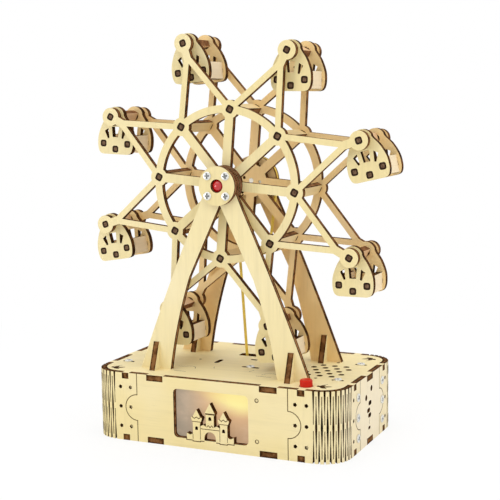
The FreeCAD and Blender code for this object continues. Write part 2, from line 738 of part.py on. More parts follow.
def gondola_axles():
    """Square strips through the wheel's eyes, on which the gondolas hang."""
    bars = []
    for number in range(SEATS):
        x, z = polar(EYE_RADIUS, eye_angle(number))
        bars.append(square_bar(x, z, FRONT_FRAME_Y, REAR_FRAME_Y + PLY, TENON, eye_angle(number)))
    return Part.makeCompound(bars)


def wheel_hub_disc():
    """Disc on the front wheel frame that runs against the A-frame."""
    thickness = FRONT_FRAME_Y - (FRONT_LEG_Y + PLY) - 0.2
    bore = disc(0, AXLE_HEIGHT, AXLE_RADIUS, SHAFT_SIDES)
    face = flat([disc(0, AXLE_HEIGHT, HUB_RADIUS, HUB_SIDES)], [bore])
    return facing_front(sheet(face, thickness), FRONT_FRAME_Y - thickness, thickness)


def pulley_profile(bore, rim, belt_line, y0, y1):
    """Grooved pulley between y0 and y1: the belt's centre line runs at belt_line."""
    floor = belt_line - BELT_RADIUS - BELT_CLEAR
    open_half = BELT_RADIUS + BELT_CLEAR + 0.25
    floor_half = BELT_RADIUS + BELT_CLEAR
    return [(bore, y0), (rim, y0), (rim, BELT_Y - open_half), (floor, BELT_Y - floor_half),
            (floor, BELT_Y + floor_half), (rim, BELT_Y + open_half), (rim, y1), (bore, y1)]


def wheel_pulley():
    profile = pulley_profile(AXLE_RADIUS, BELT_LARGE + 0.5, BELT_LARGE,
                             REAR_FRAME_Y + PLY, REAR_LEG_Y - 0.2)
    return turned(profile, 0, AXLE_HEIGHT, HUB_SIDES)


def stub_axles():
    """Steel pins that carry each wheel frame in its own A-frame."""
    front = rod(0, AXLE_HEIGHT, FRONT_LEG_Y + 0.2, FRONT_FRAME_Y + PLY, AXLE_RADIUS)
    rear = rod(0, AXLE_HEIGHT, REAR_FRAME_Y, REAR_LEG_Y + PLY - 0.2, AXLE_RADIUS)
    return Part.makeCompound([front, rear])


def belt_outline(offset):
    """Outline at a distance outside the belt's centre line, as flats round both pulleys."""
    span = hypot(DRIVE_X, DRIVE_Z - AXLE_HEIGHT)
    lean = degrees(atan2(DRIVE_Z - AXLE_HEIGHT, DRIVE_X))
    spread = degrees(acos((BELT_LARGE - BELT_SMALL) / span))
    points = []
    for x, z, radius, start, end, steps in (
            (0, AXLE_HEIGHT, BELT_LARGE, lean + spread, lean - spread + 360, 16),
            (DRIVE_X, DRIVE_Z, BELT_SMALL, lean - spread, lean + spread, 6)):
        half = (end - start) / steps / 2
        reach = (radius + offset) / cos(radians(half))
        points += arc_points(x, z, reach, start + half, end - half, steps - 1)
    return polygon(points)


def drive_belt():
    thickness = 2 * BELT_RADIUS
    ring = flat([belt_outline(BELT_RADIUS)], [belt_outline(-BELT_RADIUS)])
    return facing_front(sheet(ring, thickness), BELT_Y - BELT_RADIUS, thickness)


# ---- gondolas ---------------------------------------------------------------
def car_half_outline():
    """Right half of a gondola's side plate, from its top down to the floor."""
    crown = arc_points(0, 0, CAR_TOP_RADIUS, 90, 5, 3)[1:]
    flank = [(7.8, -3.8), (9.8, -9.4), (10.1, -13.6)]
    skirt = [(9.4, -17.0), (8.1, -18.8)]
    return crown + flank + skirt


def car_windows():
    """Three windows, fanned out below the pivot."""
    side = [(4.1, -5.8), (6.2, -7.2), (4.4, -11.0), (3.5, -10.7)]
    return [polygon([(-2.1, -5.0), (2.1, -5.0), (1.6, -10.2), (-1.6, -10.2)]),
            polygon(side), polygon([(-x, y) for x, y in side])]


def hung(solids, number):
    """Hangs what is drawn about a gondola's pivot on its strip, with its lean."""
    group = Part.makeCompound(solids)
    group.rotate(ORIGIN, V(0, 1, 0), CAR_LEAN[number])
    x, z = polar(EYE_RADIUS, eye_angle(number))
    group.translate(V(x, 0, z))
    return group


def car_sides(number):
    outline = polygon([(0, CAR_TOP_RADIUS)] + mirrored(car_half_outline()))
    face = flat([outline], car_windows() + [hole(0, 0, CAR_HOLE, CAR_HOLE_SIDES)])
    rear = CAR_FRONT_Y + CAR_DEPTH - PLY
    return hung([facing_front(sheet(face), y) for y in (CAR_FRONT_Y, rear)], number)


def car_board(x, z, width, height):
    """Board between the side plates."""
    return Part.makeBox(width, CAR_DEPTH - 2 * PLY, height,
                        V(x - width / 2, CAR_FRONT_Y + PLY, z - height / 2))


def car_boards(number):
    floor_width = 2 * (CAR_BOARD_X - TENON / 2)
    boards = [car_board(-CAR_BOARD_X, CAR_BOARD_Z, TENON, CAR_BOARD_HEIGHT),
              car_board(CAR_BOARD_X, CAR_BOARD_Z, TENON, CAR_BOARD_HEIGHT),
              car_board(0, CAR_FLOOR_Z, floor_width, TENON)]
    return hung(boards, number)


# ---- drive and crank --------------------------------------------------------
def gear_outline(teeth, addendum, dedendum, backlash, phase):
    """Spur gear about the origin with straight flanks, phase in degrees to a tooth."""
    pitch_radius = MODULE * teeth / 2
    tip = pitch_radius + addendum
    root = pitch_radius - dedendum
    half_pitch = pi / (2 * teeth) - backlash / (2 * pitch_radius)
    flank_lean = tan(radians(20))
    half_tip = half_pitch - addendum * flank_lean / pitch_radius
    half_root = half_pitch + dedendum * flank_lean / pitch_radius
    points = []
    for tooth in range(teeth):
        middle = radians(phase) + 2 * pi * tooth / teeth
        for radius, offset in ((root, -half_root), (tip, -half_tip), (tip, half_tip), (root, half_root)):
            points.append((radius * cos(middle + offset), radius * sin(middle + offset)))
    return polygon(points)


def gear_line_angle():
    """Direction from the pinion to the crank gear, in degrees from +X towards +Z."""
    return degrees(atan2(CRANK_Z - DRIVE_Z, crank_x() - DRIVE_X))


def spur_gear(teeth, addendum, phase, x, z):
    bore = disc(0, 0, SHAFT_RADIUS, SHAFT_SIDES)
    face = flat([gear_outline(teeth, addendum, 0.6, 0.12, phase)], [bore])
    solid = facing_front(sheet(face), GEAR_Y)
    solid.translate(V(x, 0, z))
    return solid


def drive_pinion():
    """Pinion and small belt pulley, moulded in one piece on the drive shaft."""
    pinion = spur_gear(PINION_TEETH, 0.5, gear_line_angle(), DRIVE_X, DRIVE_Z)
    profile = pulley_profile(SHAFT_RADIUS, BELT_SMALL + 0.7, BELT_SMALL, BELT_Y - 1.8, GEAR_Y)
    return pinion.fuse(turned(profile, DRIVE_X, DRIVE_Z, SHAFT_SIDES)).removeSplitter()


def crank_gear():
    phase = gear_line_angle() + 180.0 + 180.0 / GEAR_TEETH
    return spur_gear(GEAR_TEETH, 0.45, phase, crank_x(), CRANK_Z)


def drive_shaft():
    return rod(DRIVE_X, DRIVE_Z, GEAR_PLATE_Y[0] - 0.5, GEAR_PLATE_Y[1] + PLY + 0.5, SHAFT_RADIUS)


def gear_plates():
    """Two upright plates on the bottom plate that carry both shafts."""
    bore = SHAFT_RADIUS + SHAFT_CLEAR
    x0 = DRIVE_X - 7.0
    x1 = crank_x() + 7.0
    outline = rectangle(x0, PLY, x1, BASE_HEIGHT - PLY)
    holes = [hole(DRIVE_X, DRIVE_Z, bore, SHAFT_SIDES), hole(crank_x(), CRANK_Z, bore, SHAFT_SIDES)]
    return Part.makeCompound([facing_front(sheet(flat([outline], holes)), y) for y in GEAR_PLATE_Y])


def crank_shaft():
    return rod(crank_x(), CRANK_Z, GEAR_PLATE_Y[0] - 0.5, CRANK_ARM_Y + PLY, SHAFT_RADIUS)


def crank_arm():
    """Plywood arm on the shaft, with the pin that carries the knob."""
    x0 = crank_x()
    x1 = x0 + CRANK_THROW
    radius = 3.6
    outlines = [disc(x0, CRANK_Z, radius, HUB_SIDES), disc(x1, CRANK_Z, radius, HUB_SIDES),
                rectangle(x0, CRANK_Z - 2.8, x1, CRANK_Z + 2.8)]
    bore = disc(x0, CRANK_Z, SHAFT_RADIUS, SHAFT_SIDES)
    arm = facing_front(sheet(flat(outlines, [bore])), CRANK_ARM_Y)
    return arm.fuse(rod(x1, CRANK_Z, CRANK_ARM_Y + PLY, CRANK_ARM_Y + PLY + 15.5, SHAFT_RADIUS))


def crank_knob():
    """Round wooden knob that turns freely on its pin."""
    y = CRANK_ARM_Y + PLY + 0.3
    bore = (SHAFT_RADIUS + SHAFT_CLEAR) / cos(pi / SHAFT_SIDES)
    profile = [(bore, y), (2.2, y), (2.9, y + 2.0), (3.1, y + 9.0), (2.6, y + 13.0),
               (1.8, y + 14.0), (bore, y + 14.0)]
    return turned(profile, crank_x() + CRANK_THROW, CRANK_Z, SHAFT_SIDES)


# ---- light, sound and power -------------------------------------------------
def push_button():
    """Round button with a flange that the top plate holds down."""
    under_plate = BASE_HEIGHT - PLY - 0.1
    shoulder = BUTTON_TOP - 0.6
    points = [(0, under_plate - 0.7), (BUTTON_RADIUS + 0.8, under_plate - 0.7),
              (BUTTON_RADIUS + 0.8, under_plate), (BUTTON_RADIUS, under_plate),
              (BUTTON_RADIUS, shoulder), (BUTTON_RADIUS - 0.2, BUTTON_TOP - 0.2),
              (BUTTON_RADIUS - 0.6, BUTTON_TOP), (0, BUTTON_TOP)]
    return stood_up(turned(points, 0, 0, SHAFT_SIDES), BUTTON_X, BUTTON_Y)


def button_switch():
    """Square switch with a round stem, on a post under the button."""
    post = Part.makeBox(4.0, 4.0, 21.8, V(BUTTON_X - 2.0, BUTTON_Y - 2.0, PLY))
    body = Part.makeBox(6.0, 6.0, 3.5, V(BUTTON_X - 3.0, BUTTON_Y - 3.0, PLY + 21.8))
    stem = lying(sheet(flat([disc(BUTTON_X, BUTTON_Y, 1.5, SCREW_SIDES)]), 0.7), PLY + 25.3)
    return post.fuse([body, stem])


def speaker():
    """Small round loudspeaker under the grille: basket, and magnet below it."""
    top = BASE_HEIGHT - PLY
    profile = [(0, top - 6.0), (6.0, top - 6.0), (6.0, top - 3.0), (11.5, top - 3.0),
               (11.5, top), (10.3, top), (4.5, top - 2.2), (0, top - 2.2)]
    return stood_up(turned(profile, 0, 0, 12), SPEAKER_X, SPEAKER_Y)


def sound_board():
    return Part.makeBox(26.0, 18.0, 1.6, V(30.0, -9.0, PLY + 2.0))


def window_lamp():
    """Small lamp on a block behind the window's upper right."""
    block = Part.makeBox(8.0, 3.0, 23.0, V(9.0, -HALF_D + 12.0, PLY))
    return block.fuse(rod(13.0, 22.0, -HALF_D + 8.0, -HALF_D + 12.0, 2.5))


def battery_cells():
    """Two AAA cells, side by side."""
    solids = []
    for k in (-1, 1):
        profile = [(0, -22.0), (5.25, -22.0), (5.25, 21.0), (1.9, 21.0), (1.9, 22.2), (0, 22.2)]
        solids.append(turned(profile, -44.0 + k * 5.6, PLY + 7.2, SHAFT_SIDES))
    return Part.makeCompound(solids)


def battery_box():
    """Open tray that the cells lie in."""
    outside = Part.makeBox(26.0, 52.0, 13.0, V(-57.0, -25.5, PLY))
    inside = Part.makeBox(23.0, 49.0, 13.0, V(-55.5, -24.0, PLY + 1.5))
    return outside.cut(inside)


# ---- every node -------------------------------------------------------------
def build_nodes():
    strip = corner_strip()
    nodes = {
        "bottom_plate": bottom_plate(),
        "top_plate": top_plate(),
        "front_panel": front_panel(),
        "rear_panel": rear_panel(),
        "left_panel": side_panel(-HALF_W),
        "right_panel": side_panel(HALF_W - PLY),
        "corner_rear_right": strip,
        "corner_rear_left": mirror_x(strip),
        "corner_front_right": mirror_y(strip),
        "corner_front_left": mirror_y(mirror_x(strip)),
        "seam_straps": seam_straps(),
        "case_screws": case_screws(),
        "window_diffuser": window_diffuser(),
        "castle_cutout": castle_cutout(),
        "front_a_frame": a_frame(FRONT_LEG_Y),
        "rear_a_frame": a_frame(REAR_LEG_Y),
        "leg_gussets": leg_gussets(),
        "front_hub_cap": hub_cap(FRONT_LEG_Y - PLY),
        "rear_hub_cap": hub_cap(REAR_LEG_Y + PLY),
        "hub_jewel": hub_jewel(),
        "axle_bushings": axle_bushings(),
        "drive_belt": drive_belt(),
        "gear_plates": gear_plates(),
        "button_switch": button_switch(),
        "speaker": speaker(),
        "sound_board": sound_board(),
        "window_lamp": window_lamp(),
        "battery_box": battery_box(),
        "battery_cells": battery_cells(),
        "front_wheel_frame": wheel_frame(FRONT_FRAME_Y),
        "rear_wheel_frame": wheel_frame(REAR_FRAME_Y),
        "crossbars": crossbars(),
        "gondola_axles": gondola_axles(),
        "wheel_hub_disc": wheel_hub_disc(),
        "wheel_pulley": wheel_pulley(),
        "stub_axles": stub_axles(),
        "drive_pinion": drive_pinion(),
        "drive_shaft": drive_shaft(),
        "crank_gear": crank_gear(),
        "crank_shaft": crank_shaft(),
        "crank_arm": crank_arm(),
        "crank_knob": crank_knob(),
        "push_button": push_button(),
    }
    for number in range(SEATS):
        nodes[f"gondola_{number + 1}_sides"] = car_sides(number)
        nodes[f"gondola_{number + 1}_boards"] = car_boards(number)
    return nodes


os.makedirs("parts", exist_ok=True)
for name, shape in build_nodes().items():
    shape.exportStep(f"parts/{name}.step")
    print(name, len(shape.Solids), round(shape.Volume, 1), shape.isValid())
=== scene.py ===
import math

import bmesh
import bpy
import numpy as np
from mathutils import Matrix, Vector
from mathutils.geometry import delaunay_2d_cdt


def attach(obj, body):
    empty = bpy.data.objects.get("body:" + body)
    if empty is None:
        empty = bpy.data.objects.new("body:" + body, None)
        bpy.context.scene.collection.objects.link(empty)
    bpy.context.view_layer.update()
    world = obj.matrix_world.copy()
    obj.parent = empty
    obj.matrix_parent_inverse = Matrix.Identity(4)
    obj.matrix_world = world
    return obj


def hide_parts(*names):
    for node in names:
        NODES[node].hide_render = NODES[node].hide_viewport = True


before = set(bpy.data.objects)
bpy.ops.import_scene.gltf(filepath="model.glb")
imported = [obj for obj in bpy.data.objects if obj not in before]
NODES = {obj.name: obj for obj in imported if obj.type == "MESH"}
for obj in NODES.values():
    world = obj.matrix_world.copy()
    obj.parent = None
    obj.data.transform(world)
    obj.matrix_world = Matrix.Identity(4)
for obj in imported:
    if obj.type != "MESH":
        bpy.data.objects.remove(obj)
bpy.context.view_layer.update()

# Sizes in millimetres, as the parts are drawn; piece() makes them Blender's metres.
PLY = 3.0

# The base: its outline, the seams in its walls, its tabs and its rows of screws.
HALF_WIDTH = 66.0
HALF_DEPTH = 40.5
BASE_TOP = 34.0
MID_HEIGHT = BASE_TOP / 2
CORNER_RADIUS = 13.5
BEND_X = HALF_WIDTH - CORNER_RADIUS
BEND_Y = HALF_DEPTH - CORNER_RADIUS
SEAM_X = 39.9
SEAM_Y = 14.4
SEAM_GAP = 0.1
SEAM_LINE = 0.42
TONGUE_RADIUS = 6.45
HOLE_ROW = 9.85
SIDE_SCREW_Y = 18.0
WINDOW_SCREW_X = 24.2
BIG_TAB = (25.5, 34.5)
SMALL_TAB = (44.5, 48.2)
SIDE_BIG_TAB = (-4.4, 4.4)
SIDE_SMALL_TAB = (19.7, 23.2)

# Openings: a slot is a middle and two half sizes, a screw's slot a middle, length and width, and
# a round hole a middle, a radius and a number of sides.
BUTTON_X, BUTTON_Y = 46.0, -32.6
BELT_SLOT = (-4.3, 17.0, 6.3, 2.6, 0.8)
TOP_SLOTS = ((1.5, 7.5, 1.9, 1.0), (-14.05, -1.9, 1.2, 3.9))
TOP_HOLES = ((-25.0, -1.0, 0.7, 16), (44.5, -16.9, 0.9, 20), (43.8, 16.6, 0.9, 20),
             (BUTTON_X, BUTTON_Y, 3.3, 40))
PLATE_SCREWS = ((-57.2, -18.4, 6.6, 1.8), (-58.0, 17.6, 6.6, 1.8), (55.8, -17.2, 6.2, 1.9),
                (55.8, 16.6, 6.2, 1.9), (6.6, -8.3, 9.6, 2.0))
SIDE_HOLES = ((2.2, 26.6, 1.45, 24), (-5.6, 23.5, 1.45, 24))
SIDE_SLOTS = ((-0.9, 7.7, 1.6, 0.75), (0, 19.85, 2.2, 1.1), (-2.1, 16.6, 2.2, 1.1), (-0.45, 13.85, 2.2, 1.1))
SPEAKER_X, SPEAKER_Y = 44.65, -1.2
SPEAKER_PITCH = 6.06
SPEAKER_ROW = 5.248
SPEAKER_HOLE = 1.5
CASTLE_X = -0.3
TOWER_X = 7.17

# The A-frames and the wheel, with the front faces of their sheets.
FRONT_LEG_Y = -26.4
REAR_LEG_Y = 17.6
LEG_TABS = ((30.2, 33.2), (39.2, 43.2))
GUSSET_X = 36.0
GUSSET_REACH = 7.1
GUSSET_TOP = 47.5
GUSSET_SPLIT = 41.0
AXLE_HEIGHT = 125.5
AXLE_RADIUS = 1.25
FRONT_FRAME_Y = -20.4
REAR_FRAME_Y = 10.1
REAR_FRAME_HOLES = ((-3.8, 1.4), (4.8, -0.6), (-5.0, -6.0))
HUB_RADIUS = 9.4
HUB_HOLE = 3.2
HUB_SCREW = 4.75
HUB_DISC = 2.8
WHEEL_HUB = 9.0
RING_INNER = 34.15
RING_OUTER = 37.9
RING_RADIUS = 36.0
EYE_RADIUS = 70.7
SEATS = 8
WHEEL_PHASE = 5.1
SPOKE_WIDTH = 4.4
ARM_WIDTH = 2.9
ARMS_MEET = 64.0
NECK_WIDTH = 4.0
PAD_RADIUS = 4.4
EYE_OUTER = 4.5
RING_BOARD = (2.5, PLY / 2)
PIVOT_BOARD = (2.6, 1.55)
BOARD_CORNER = 0.12
TENON_HOLE = 1.72
NODE_HOLE = 1.86
TENON_GAP = 0.06
TENON_CORNER = 1.05
TENON_INSET = 0.08
CAR_FRONT_Y = -15.3
CAR_REAR_Y = CAR_FRONT_Y + 21.4 - PLY
CAR_LEAN = (-5.3, 1.2, -12.8, -0.3, -6.6, -1.8, -9.1, 2.7)

# The belt and the crank, whose gears stand CRANK_CENTRES apart.
BELT_Y = 15.5
BELT_RADIUS = 0.72
BELT_LARGE = 11.8
BELT_SMALL = 2.2
DRIVE_X = -3.4
DRIVE_Z = 25.0
CRANK_Z = 19.0
CRANK_CENTRES = 14.0
CRANK_X = DRIVE_X + math.sqrt(CRANK_CENTRES ** 2 - (DRIVE_Z - CRANK_Z) ** 2)
CRANK_THROW = 13.0
CRANK_ARM_Y = HALF_DEPTH + 1.5


# ---- flat shapes: arrays of points in a plane ---------------------------------
def seat_angle(number):
    """Angle of a spoke from upright, clockwise from the front, in radians."""
    return math.radians(WHEEL_PHASE + 360.0 / SEATS * number)


def eye_angle(number):
    """Angle of a gondola's eye, half way between two spokes."""
    return seat_angle(number) - math.pi / SEATS


def polar(radius, angle):
    """X and Z of a point at an angle clockwise from upright, about the wheel axis."""
    return radius * math.sin(angle), AXLE_HEIGHT + radius * math.cos(angle)


def arc(x, y, radius, start, end, steps):
    """Points of an arc, angles in degrees."""
    turn = np.radians(np.linspace(start, end, steps + 1))
    return np.stack([x + radius * np.cos(turn), y + radius * np.sin(turn)], axis=1)


def circle(x, y, radius, steps=40):
    """Points of a whole circle, its end left out."""
    return arc(x, y, radius, 0, 360, steps)[:-1]


def clockwise(points, angle):
    """Points turned about the origin: (x cos t + y sin t, y cos t - x sin t)."""
    x, y = np.asarray(points, float).T
    return np.stack([x * math.cos(angle) + y * math.sin(angle),
                     y * math.cos(angle) - x * math.sin(angle)], axis=1)


def rounded_box(x, y, half_x, half_y, corner, angle=0.0, steps=4):
    """Rectangle about (x, y) with four corner arcs, turned clockwise."""
    a, b = half_x - corner, half_y - corner
    corners = [arc(a * u, b * v, corner, start, start + 90, steps)
               for u, v, start in ((1, 1, 0), (-1, 1, 90), (-1, -1, 180), (1, -1, 270))]
    return clockwise(np.vstack(corners), angle) + (x, y)


def long_hole(x, y, half_x, half_y, corner=None):
    """Slot with round ends, unless a smaller corner is given."""
    return rounded_box(x, y, half_x, half_y, corner or min(half_x, half_y) - 0.01)


def box(x0, y0, x1, y1):
    return np.array([(x0, y0), (x1, y0), (x1, y1), (x0, y1)], float)


def bar(start, end, width):
    """Rectangle of a width about the line from start to end."""
    start, end = np.asarray(start, float), np.asarray(end, float)
    ahead = (end - start) / np.linalg.norm(end - start)
    side = np.array([-ahead[1], ahead[0]]) * width / 2
    return np.array([start + side, end + side, end - side, start - side])


def mirrored(points):
    """The points, then their mirror images in reverse order."""
    points = np.asarray(points, float)
    return np.vstack([points, points[::-1] * (-1, 1)])


def through(points, steps):
    """Smooth curve through the points.

    Each stretch is the cubic whose slope at either end is half the chord between the
    neighbours of that end.
    """
    p = np.asarray(points, float)
    slope = np.gradient(p, axis=0)
    t = (np.arange(steps) / steps)[None, :, None]
    a, b, m, n = p[:-1, None], p[1:, None], slope[:-1, None], slope[1:, None]
    curve = ((2 * t ** 3 - 3 * t ** 2 + 1) * a + (t ** 3 - 2 * t ** 2 + t) * m
             + (3 * t ** 2 - 2 * t ** 3) * b + (t ** 3 - t ** 2) * n)
    return np.vstack([curve.reshape(-1, 2), p[-1:]])


# ---- materials ------------------------------------------------------------------
def paint(red, green, blue):
    """Linear colour of a paint given in screen values from 0 to 255."""
    channels = np.array([red, green, blue]) / 255.0
    linear = np.where(channels <= 0.04045, channels / 12.92, ((channels + 0.055) / 1.055) ** 2.4)
    return (*(float(value) for value in linear), 1.0)


def shade(colour, factor):
    """The colour made darker, or lighter towards white for a factor over 1."""
    if factor <= 1:
        return tuple(value * factor for value in colour[:3]) + (1.0,)
    return tuple(value + (1.0 - value) * (factor - 1.0) for value in colour[:3]) + (1.0,)


def fill(tree, slot, value):
    """Links a field to a node's input, or sets the input to a constant."""
    if isinstance(value, Field):
        tree.links.new(value.socket, slot)
    else:
        slot.default_value = value


def add_node(tree, kind, **inputs):
    """Shader node with fields or constants on its inputs, underscores for the spaces in their names."""
    node = tree.nodes.new("ShaderNode" + kind)
    for name, value in inputs.items():
        fill(tree, node.inputs[name.replace("_", " ")], value)
    return node


def operation(name):
    """Method that puts one of the shader's arithmetic steps after a field."""
    def method(self, *others):
        node = add_node(self.tree, "Math")
        node.operation = name
        for slot, value in zip(node.inputs, (self, *others)):
            fill(self.tree, slot, value)
        return Field(self.tree, node.outputs[0])
    return method


class Field:
    """A number that varies over a surface, so that a pattern is written as arithmetic."""

    def __init__(self, tree, socket):
        self.tree = tree
        self.socket = socket

    __add__ = operation("ADD")
    __sub__ = operation("SUBTRACT")
    __mul__ = operation("MULTIPLY")
    __truediv__ = operation("DIVIDE")
    __abs__ = operation("ABSOLUTE")
    larger = operation("MAXIMUM")
    smaller = operation("MINIMUM")
    sign = operation("SIGN")
    root = operation("SQRT")

    def __neg__(self):
        return self * -1.0

    def above(self, low, high):
        """0 below low, 1 above high and smooth between."""
        node = add_node(self.tree, "MapRange", Value=self, From_Min=low, From_Max=high)
        node.interpolation_type = "SMOOTHSTEP"
        return Field(self.tree, node.outputs["Result"])

    def below(self, low, high):
        """1 below low, 0 above high."""
        return -self.above(low, high) + 1.0


class Finish:
    """A material under construction. Its coordinates are millimetres in the object's frame."""

    def __init__(self, name):
        self.material = bpy.data.materials.new(name)
        self.material.use_nodes = True
        self.tree = self.material.node_tree
        self.shader = self.tree.nodes["Principled BSDF"]
        coordinates = add_node(self.tree, "TexCoord")
        self.place = Field(self.tree, coordinates.outputs["Object"])
        self.x, self.y, self.z = (part * 1000.0 for part in self.parts(self.place))
        self.nx, self.ny, self.nz = self.parts(Field(self.tree, coordinates.outputs["Normal"]))

    def parts(self, vector):
        """The X, Y and Z of a vector, as three fields."""
        node = add_node(self.tree, "SeparateXYZ", Vector=vector)
        return [Field(self.tree, socket) for socket in node.outputs]

    def mark(self):
        """The number from 0 to 1 that a piece carries at its points."""
        node = add_node(self.tree, "Attribute")
        node.attribute_name = "mark"
        return Field(self.tree, node.outputs["Fac"])

    def set(self, **values):
        """Fields or constants on the shader's own sockets, underscores for the spaces in their names."""
        for name, value in values.items():
            fill(self.tree, self.shader.inputs[name.replace("_", " ")], value)

    def noise(self, per_mm, detail=3.0, roughness=0.55):
        """Noise with so many features to the millimetre along X, Y and Z."""
        per_metre = [value * 1000.0 for value in per_mm]
        mapping = add_node(self.tree, "Mapping", Vector=self.place, Scale=per_metre)
        node = add_node(self.tree, "TexNoise", Vector=Field(self.tree, mapping.outputs[0]), Scale=1.0,
                        Detail=detail, Roughness=roughness)
        return Field(self.tree, node.outputs["Fac"])

    def mix(self, factor, first, second):
        """First colour where the factor is 0, second where it is 1."""
        node = add_node(self.tree, "Mix")
        node.data_type = "RGBA"
        for slot, value in zip((node.inputs[0], node.inputs[6], node.inputs[7]), (factor, first, second)):
            fill(self.tree, slot, value)
        return Field(self.tree, node.outputs[2])

    def bump(self, height, distance_mm, strength=1.0):
        node = add_node(self.tree, "Bump", Height=height, Distance=distance_mm / 1000.0, Strength=strength)
        self.set(Normal=Field(self.tree, node.outputs[0]))


CREAM = paint(234, 216, 159)
PALE_CREAM = paint(237, 221, 170)
# Paler cream for faces turned to the sides: painted light, for the brighter light that falls there.
LIT_SIDE_CREAM = paint(237, 222, 188)
HONEY = paint(232, 205, 148)
PALE_HONEY = paint(240, 219, 182)
TAN = paint(243, 211, 152)
CHAR = paint(52, 30, 10)
CHAR_BROWN = paint(108, 68, 32)
CORE_BROWN = paint(98, 64, 34)
CORE_LIGHT = paint(136, 95, 58)


def plywood(name, is_face, along="Z", tone=CREAM, core=None, core_tones=(CORE_BROWN, CORE_LIGHT),
            painted_shading=None):
    """Laser-cut plywood: pale veneer on its faces, scorched brown on every cut.

    is_face(finish) gives 1 on the veneer and 0 on the cuts; core(finish) gives the depth in
    millimetres inside the scorched border of a wide cut, where the wood shows lighter. The last
    argument is a weight over the surface and a tone that the veneer takes there, painted for more or less
    light.
    """
    finish = Finish(name)
    face = is_face(finish).above(0.55, 0.75)
    scales = [0.016 if axis == along else 0.38 for axis in "XYZ"]
    coarse = finish.noise(scales, 4.0, 0.6)
    fine = finish.noise([value * 5 for value in scales], 2.0, 0.5)
    clouds = finish.noise([0.025, 0.025, 0.025], 2.0, 0.5)
    veneer = finish.mix(coarse.above(0.42, 0.75) * 0.45, tone, shade(tone, 0.84))
    veneer = finish.mix(clouds.above(0.40, 0.70) * 0.40, veneer, shade(tone, 1.22))
    veneer = finish.mix(fine.above(0.58, 0.76) * 0.22, veneer, shade(tone, 0.66))
    # Painted light and shade: the veneer takes a lighter or darker tone where more or less light falls.
    if painted_shading:
        where, shading_tone = painted_shading
        veneer = finish.mix(where(finish), veneer, shading_tone)
    scorch = finish.noise([0.35, 0.35, 0.35], 3.0, 0.6)
    cut = finish.mix(scorch.above(0.40, 0.66), CHAR, CHAR_BROWN)
    if core:
        wood = finish.mix(scorch.above(0.36, 0.62), *core_tones)
        cut = finish.mix(core(finish).above(0.3, 1.0), cut, wood)
    finish.set(Base_Color=finish.mix(face, cut, veneer), Roughness=face * -0.25 + 0.85,
               Specular_IOR_Level=face * 0.25 + 0.05, IOR=1.45)
    finish.bump(coarse * 0.6 + fine * 0.4, 0.05, 0.3)
    return finish.material


def facing_x(finish):
    return abs(finish.nx)


def facing_y(finish):
    return abs(finish.ny)


def facing_z(finish):
    return abs(finish.nz)


def everywhere(value):
    """The same value all over a surface."""
    return lambda finish: finish.y * 0.0 + value


def past_bend(finish):
    """How far a point lies past the start of the nearest bend along X and Y, and in all."""
    out_x = (abs(finish.x) - BEND_X).larger(0.0)
    out_y = (abs(finish.y) - BEND_Y).larger(0.0)
    return out_x, out_y, (out_x * out_x + out_y * out_y).root()


def round_the_corner(finish):
    """Veneer of a strip that bends round the base's corner: its normal points from the bend."""
    out_x, out_y, length = past_bend(finish)
    outward = out_x * finish.x.sign() * finish.nx + out_y * finish.y.sign() * finish.ny
    return abs(outward) / length.larger(0.001)


def turned_axes(x, z, angle):
    """Two fields across and up, on axes that are turned clockwise by an angle."""
    return (x * math.cos(angle) - z * math.sin(angle),
            x * math.sin(angle) + z * math.cos(angle))


def facing_out(finish):
    """Veneer of a strip across the wheel, which faces towards and away from the axle."""
    height = finish.z - AXLE_HEIGHT
    length = (finish.x * finish.x + height * height).root()
    return abs(finish.x * finish.nx + height * finish.nz) / length


def board_faces(number):
    """Veneer of a gondola's boards: end boards face sideways, the floor board up and down."""
    lean = math.radians(CAR_LEAN[number])
    x, z = polar(EYE_RADIUS, eye_angle(number))

    def is_face(finish):
        across, _ = turned_axes(finish.x - x, finish.z - z, lean)
        sideways, upwards = turned_axes(finish.nx, finish.nz, lean)
        on_floor = abs(across).below(5.2, 5.4)
        return abs(upwards) * on_floor + abs(sideways) * (-on_floor + 1.0)
    return is_face


def plate_core(finish):
    """Depth inside the ends of a plate's tabs, from the plate's faces and the tabs' sides."""
    depth = -abs(abs(finish.z - MID_HEIGHT) - (MID_HEIGHT - PLY / 2)) + PLY / 2
    reach = None
    for at, (low, high), edge in ((finish.x, BIG_TAB, finish.y), (finish.x, SMALL_TAB, finish.y),
                                  (finish.y, SIDE_BIG_TAB, finish.x), (finish.y, SIDE_SMALL_TAB, finish.x)):
        limit = HALF_DEPTH if edge is finish.y else HALF_WIDTH
        place = abs(at) if low > 0 else at
        inside = -abs(place - (low + high) / 2) + (high - low) / 2
        inside = (inside * 0.5).smaller((abs(edge) - limit + 0.2) * 10.0)
        reach = inside if reach is None else reach.larger(inside)
    return depth.smaller(reach)


def wall_core(finish):
    """Depth inside the rims of the walls, which follow the base's rounded outline."""
    radius = past_bend(finish)[2]
    return -abs(radius - (CORNER_RADIUS - PLY / 2)) * 0.8 + 1.0


def ring_board_faces(finish):
    """Veneer of the boards between the rings, whose wide faces look towards the axle."""
    turn = eye_angle(1)
    across, along = turned_axes(finish.x, finish.z - AXLE_HEIGHT, turn)
    normal_across, normal_along = turned_axes(finish.nx, finish.nz, turn)
    chosen = (abs(along) - abs(across)).above(-0.5, 0.5)
    return abs(normal_along) * chosen + abs(normal_across) * (-chosen + 1.0)


def ring_board_core(finish):
    """Depth inside the rims of those boards, from the middle of their thickness."""
    across, along = turned_axes(finish.x, finish.z - AXLE_HEIGHT, eye_angle(1))
    middle = RING_RADIUS * math.cos(math.pi / SEATS)
    return -abs(abs(along).larger(abs(across)) - middle) + PLY / 2


def gusset_core(finish):
    return -abs(abs(finish.x) - GUSSET_X) + PLY / 2


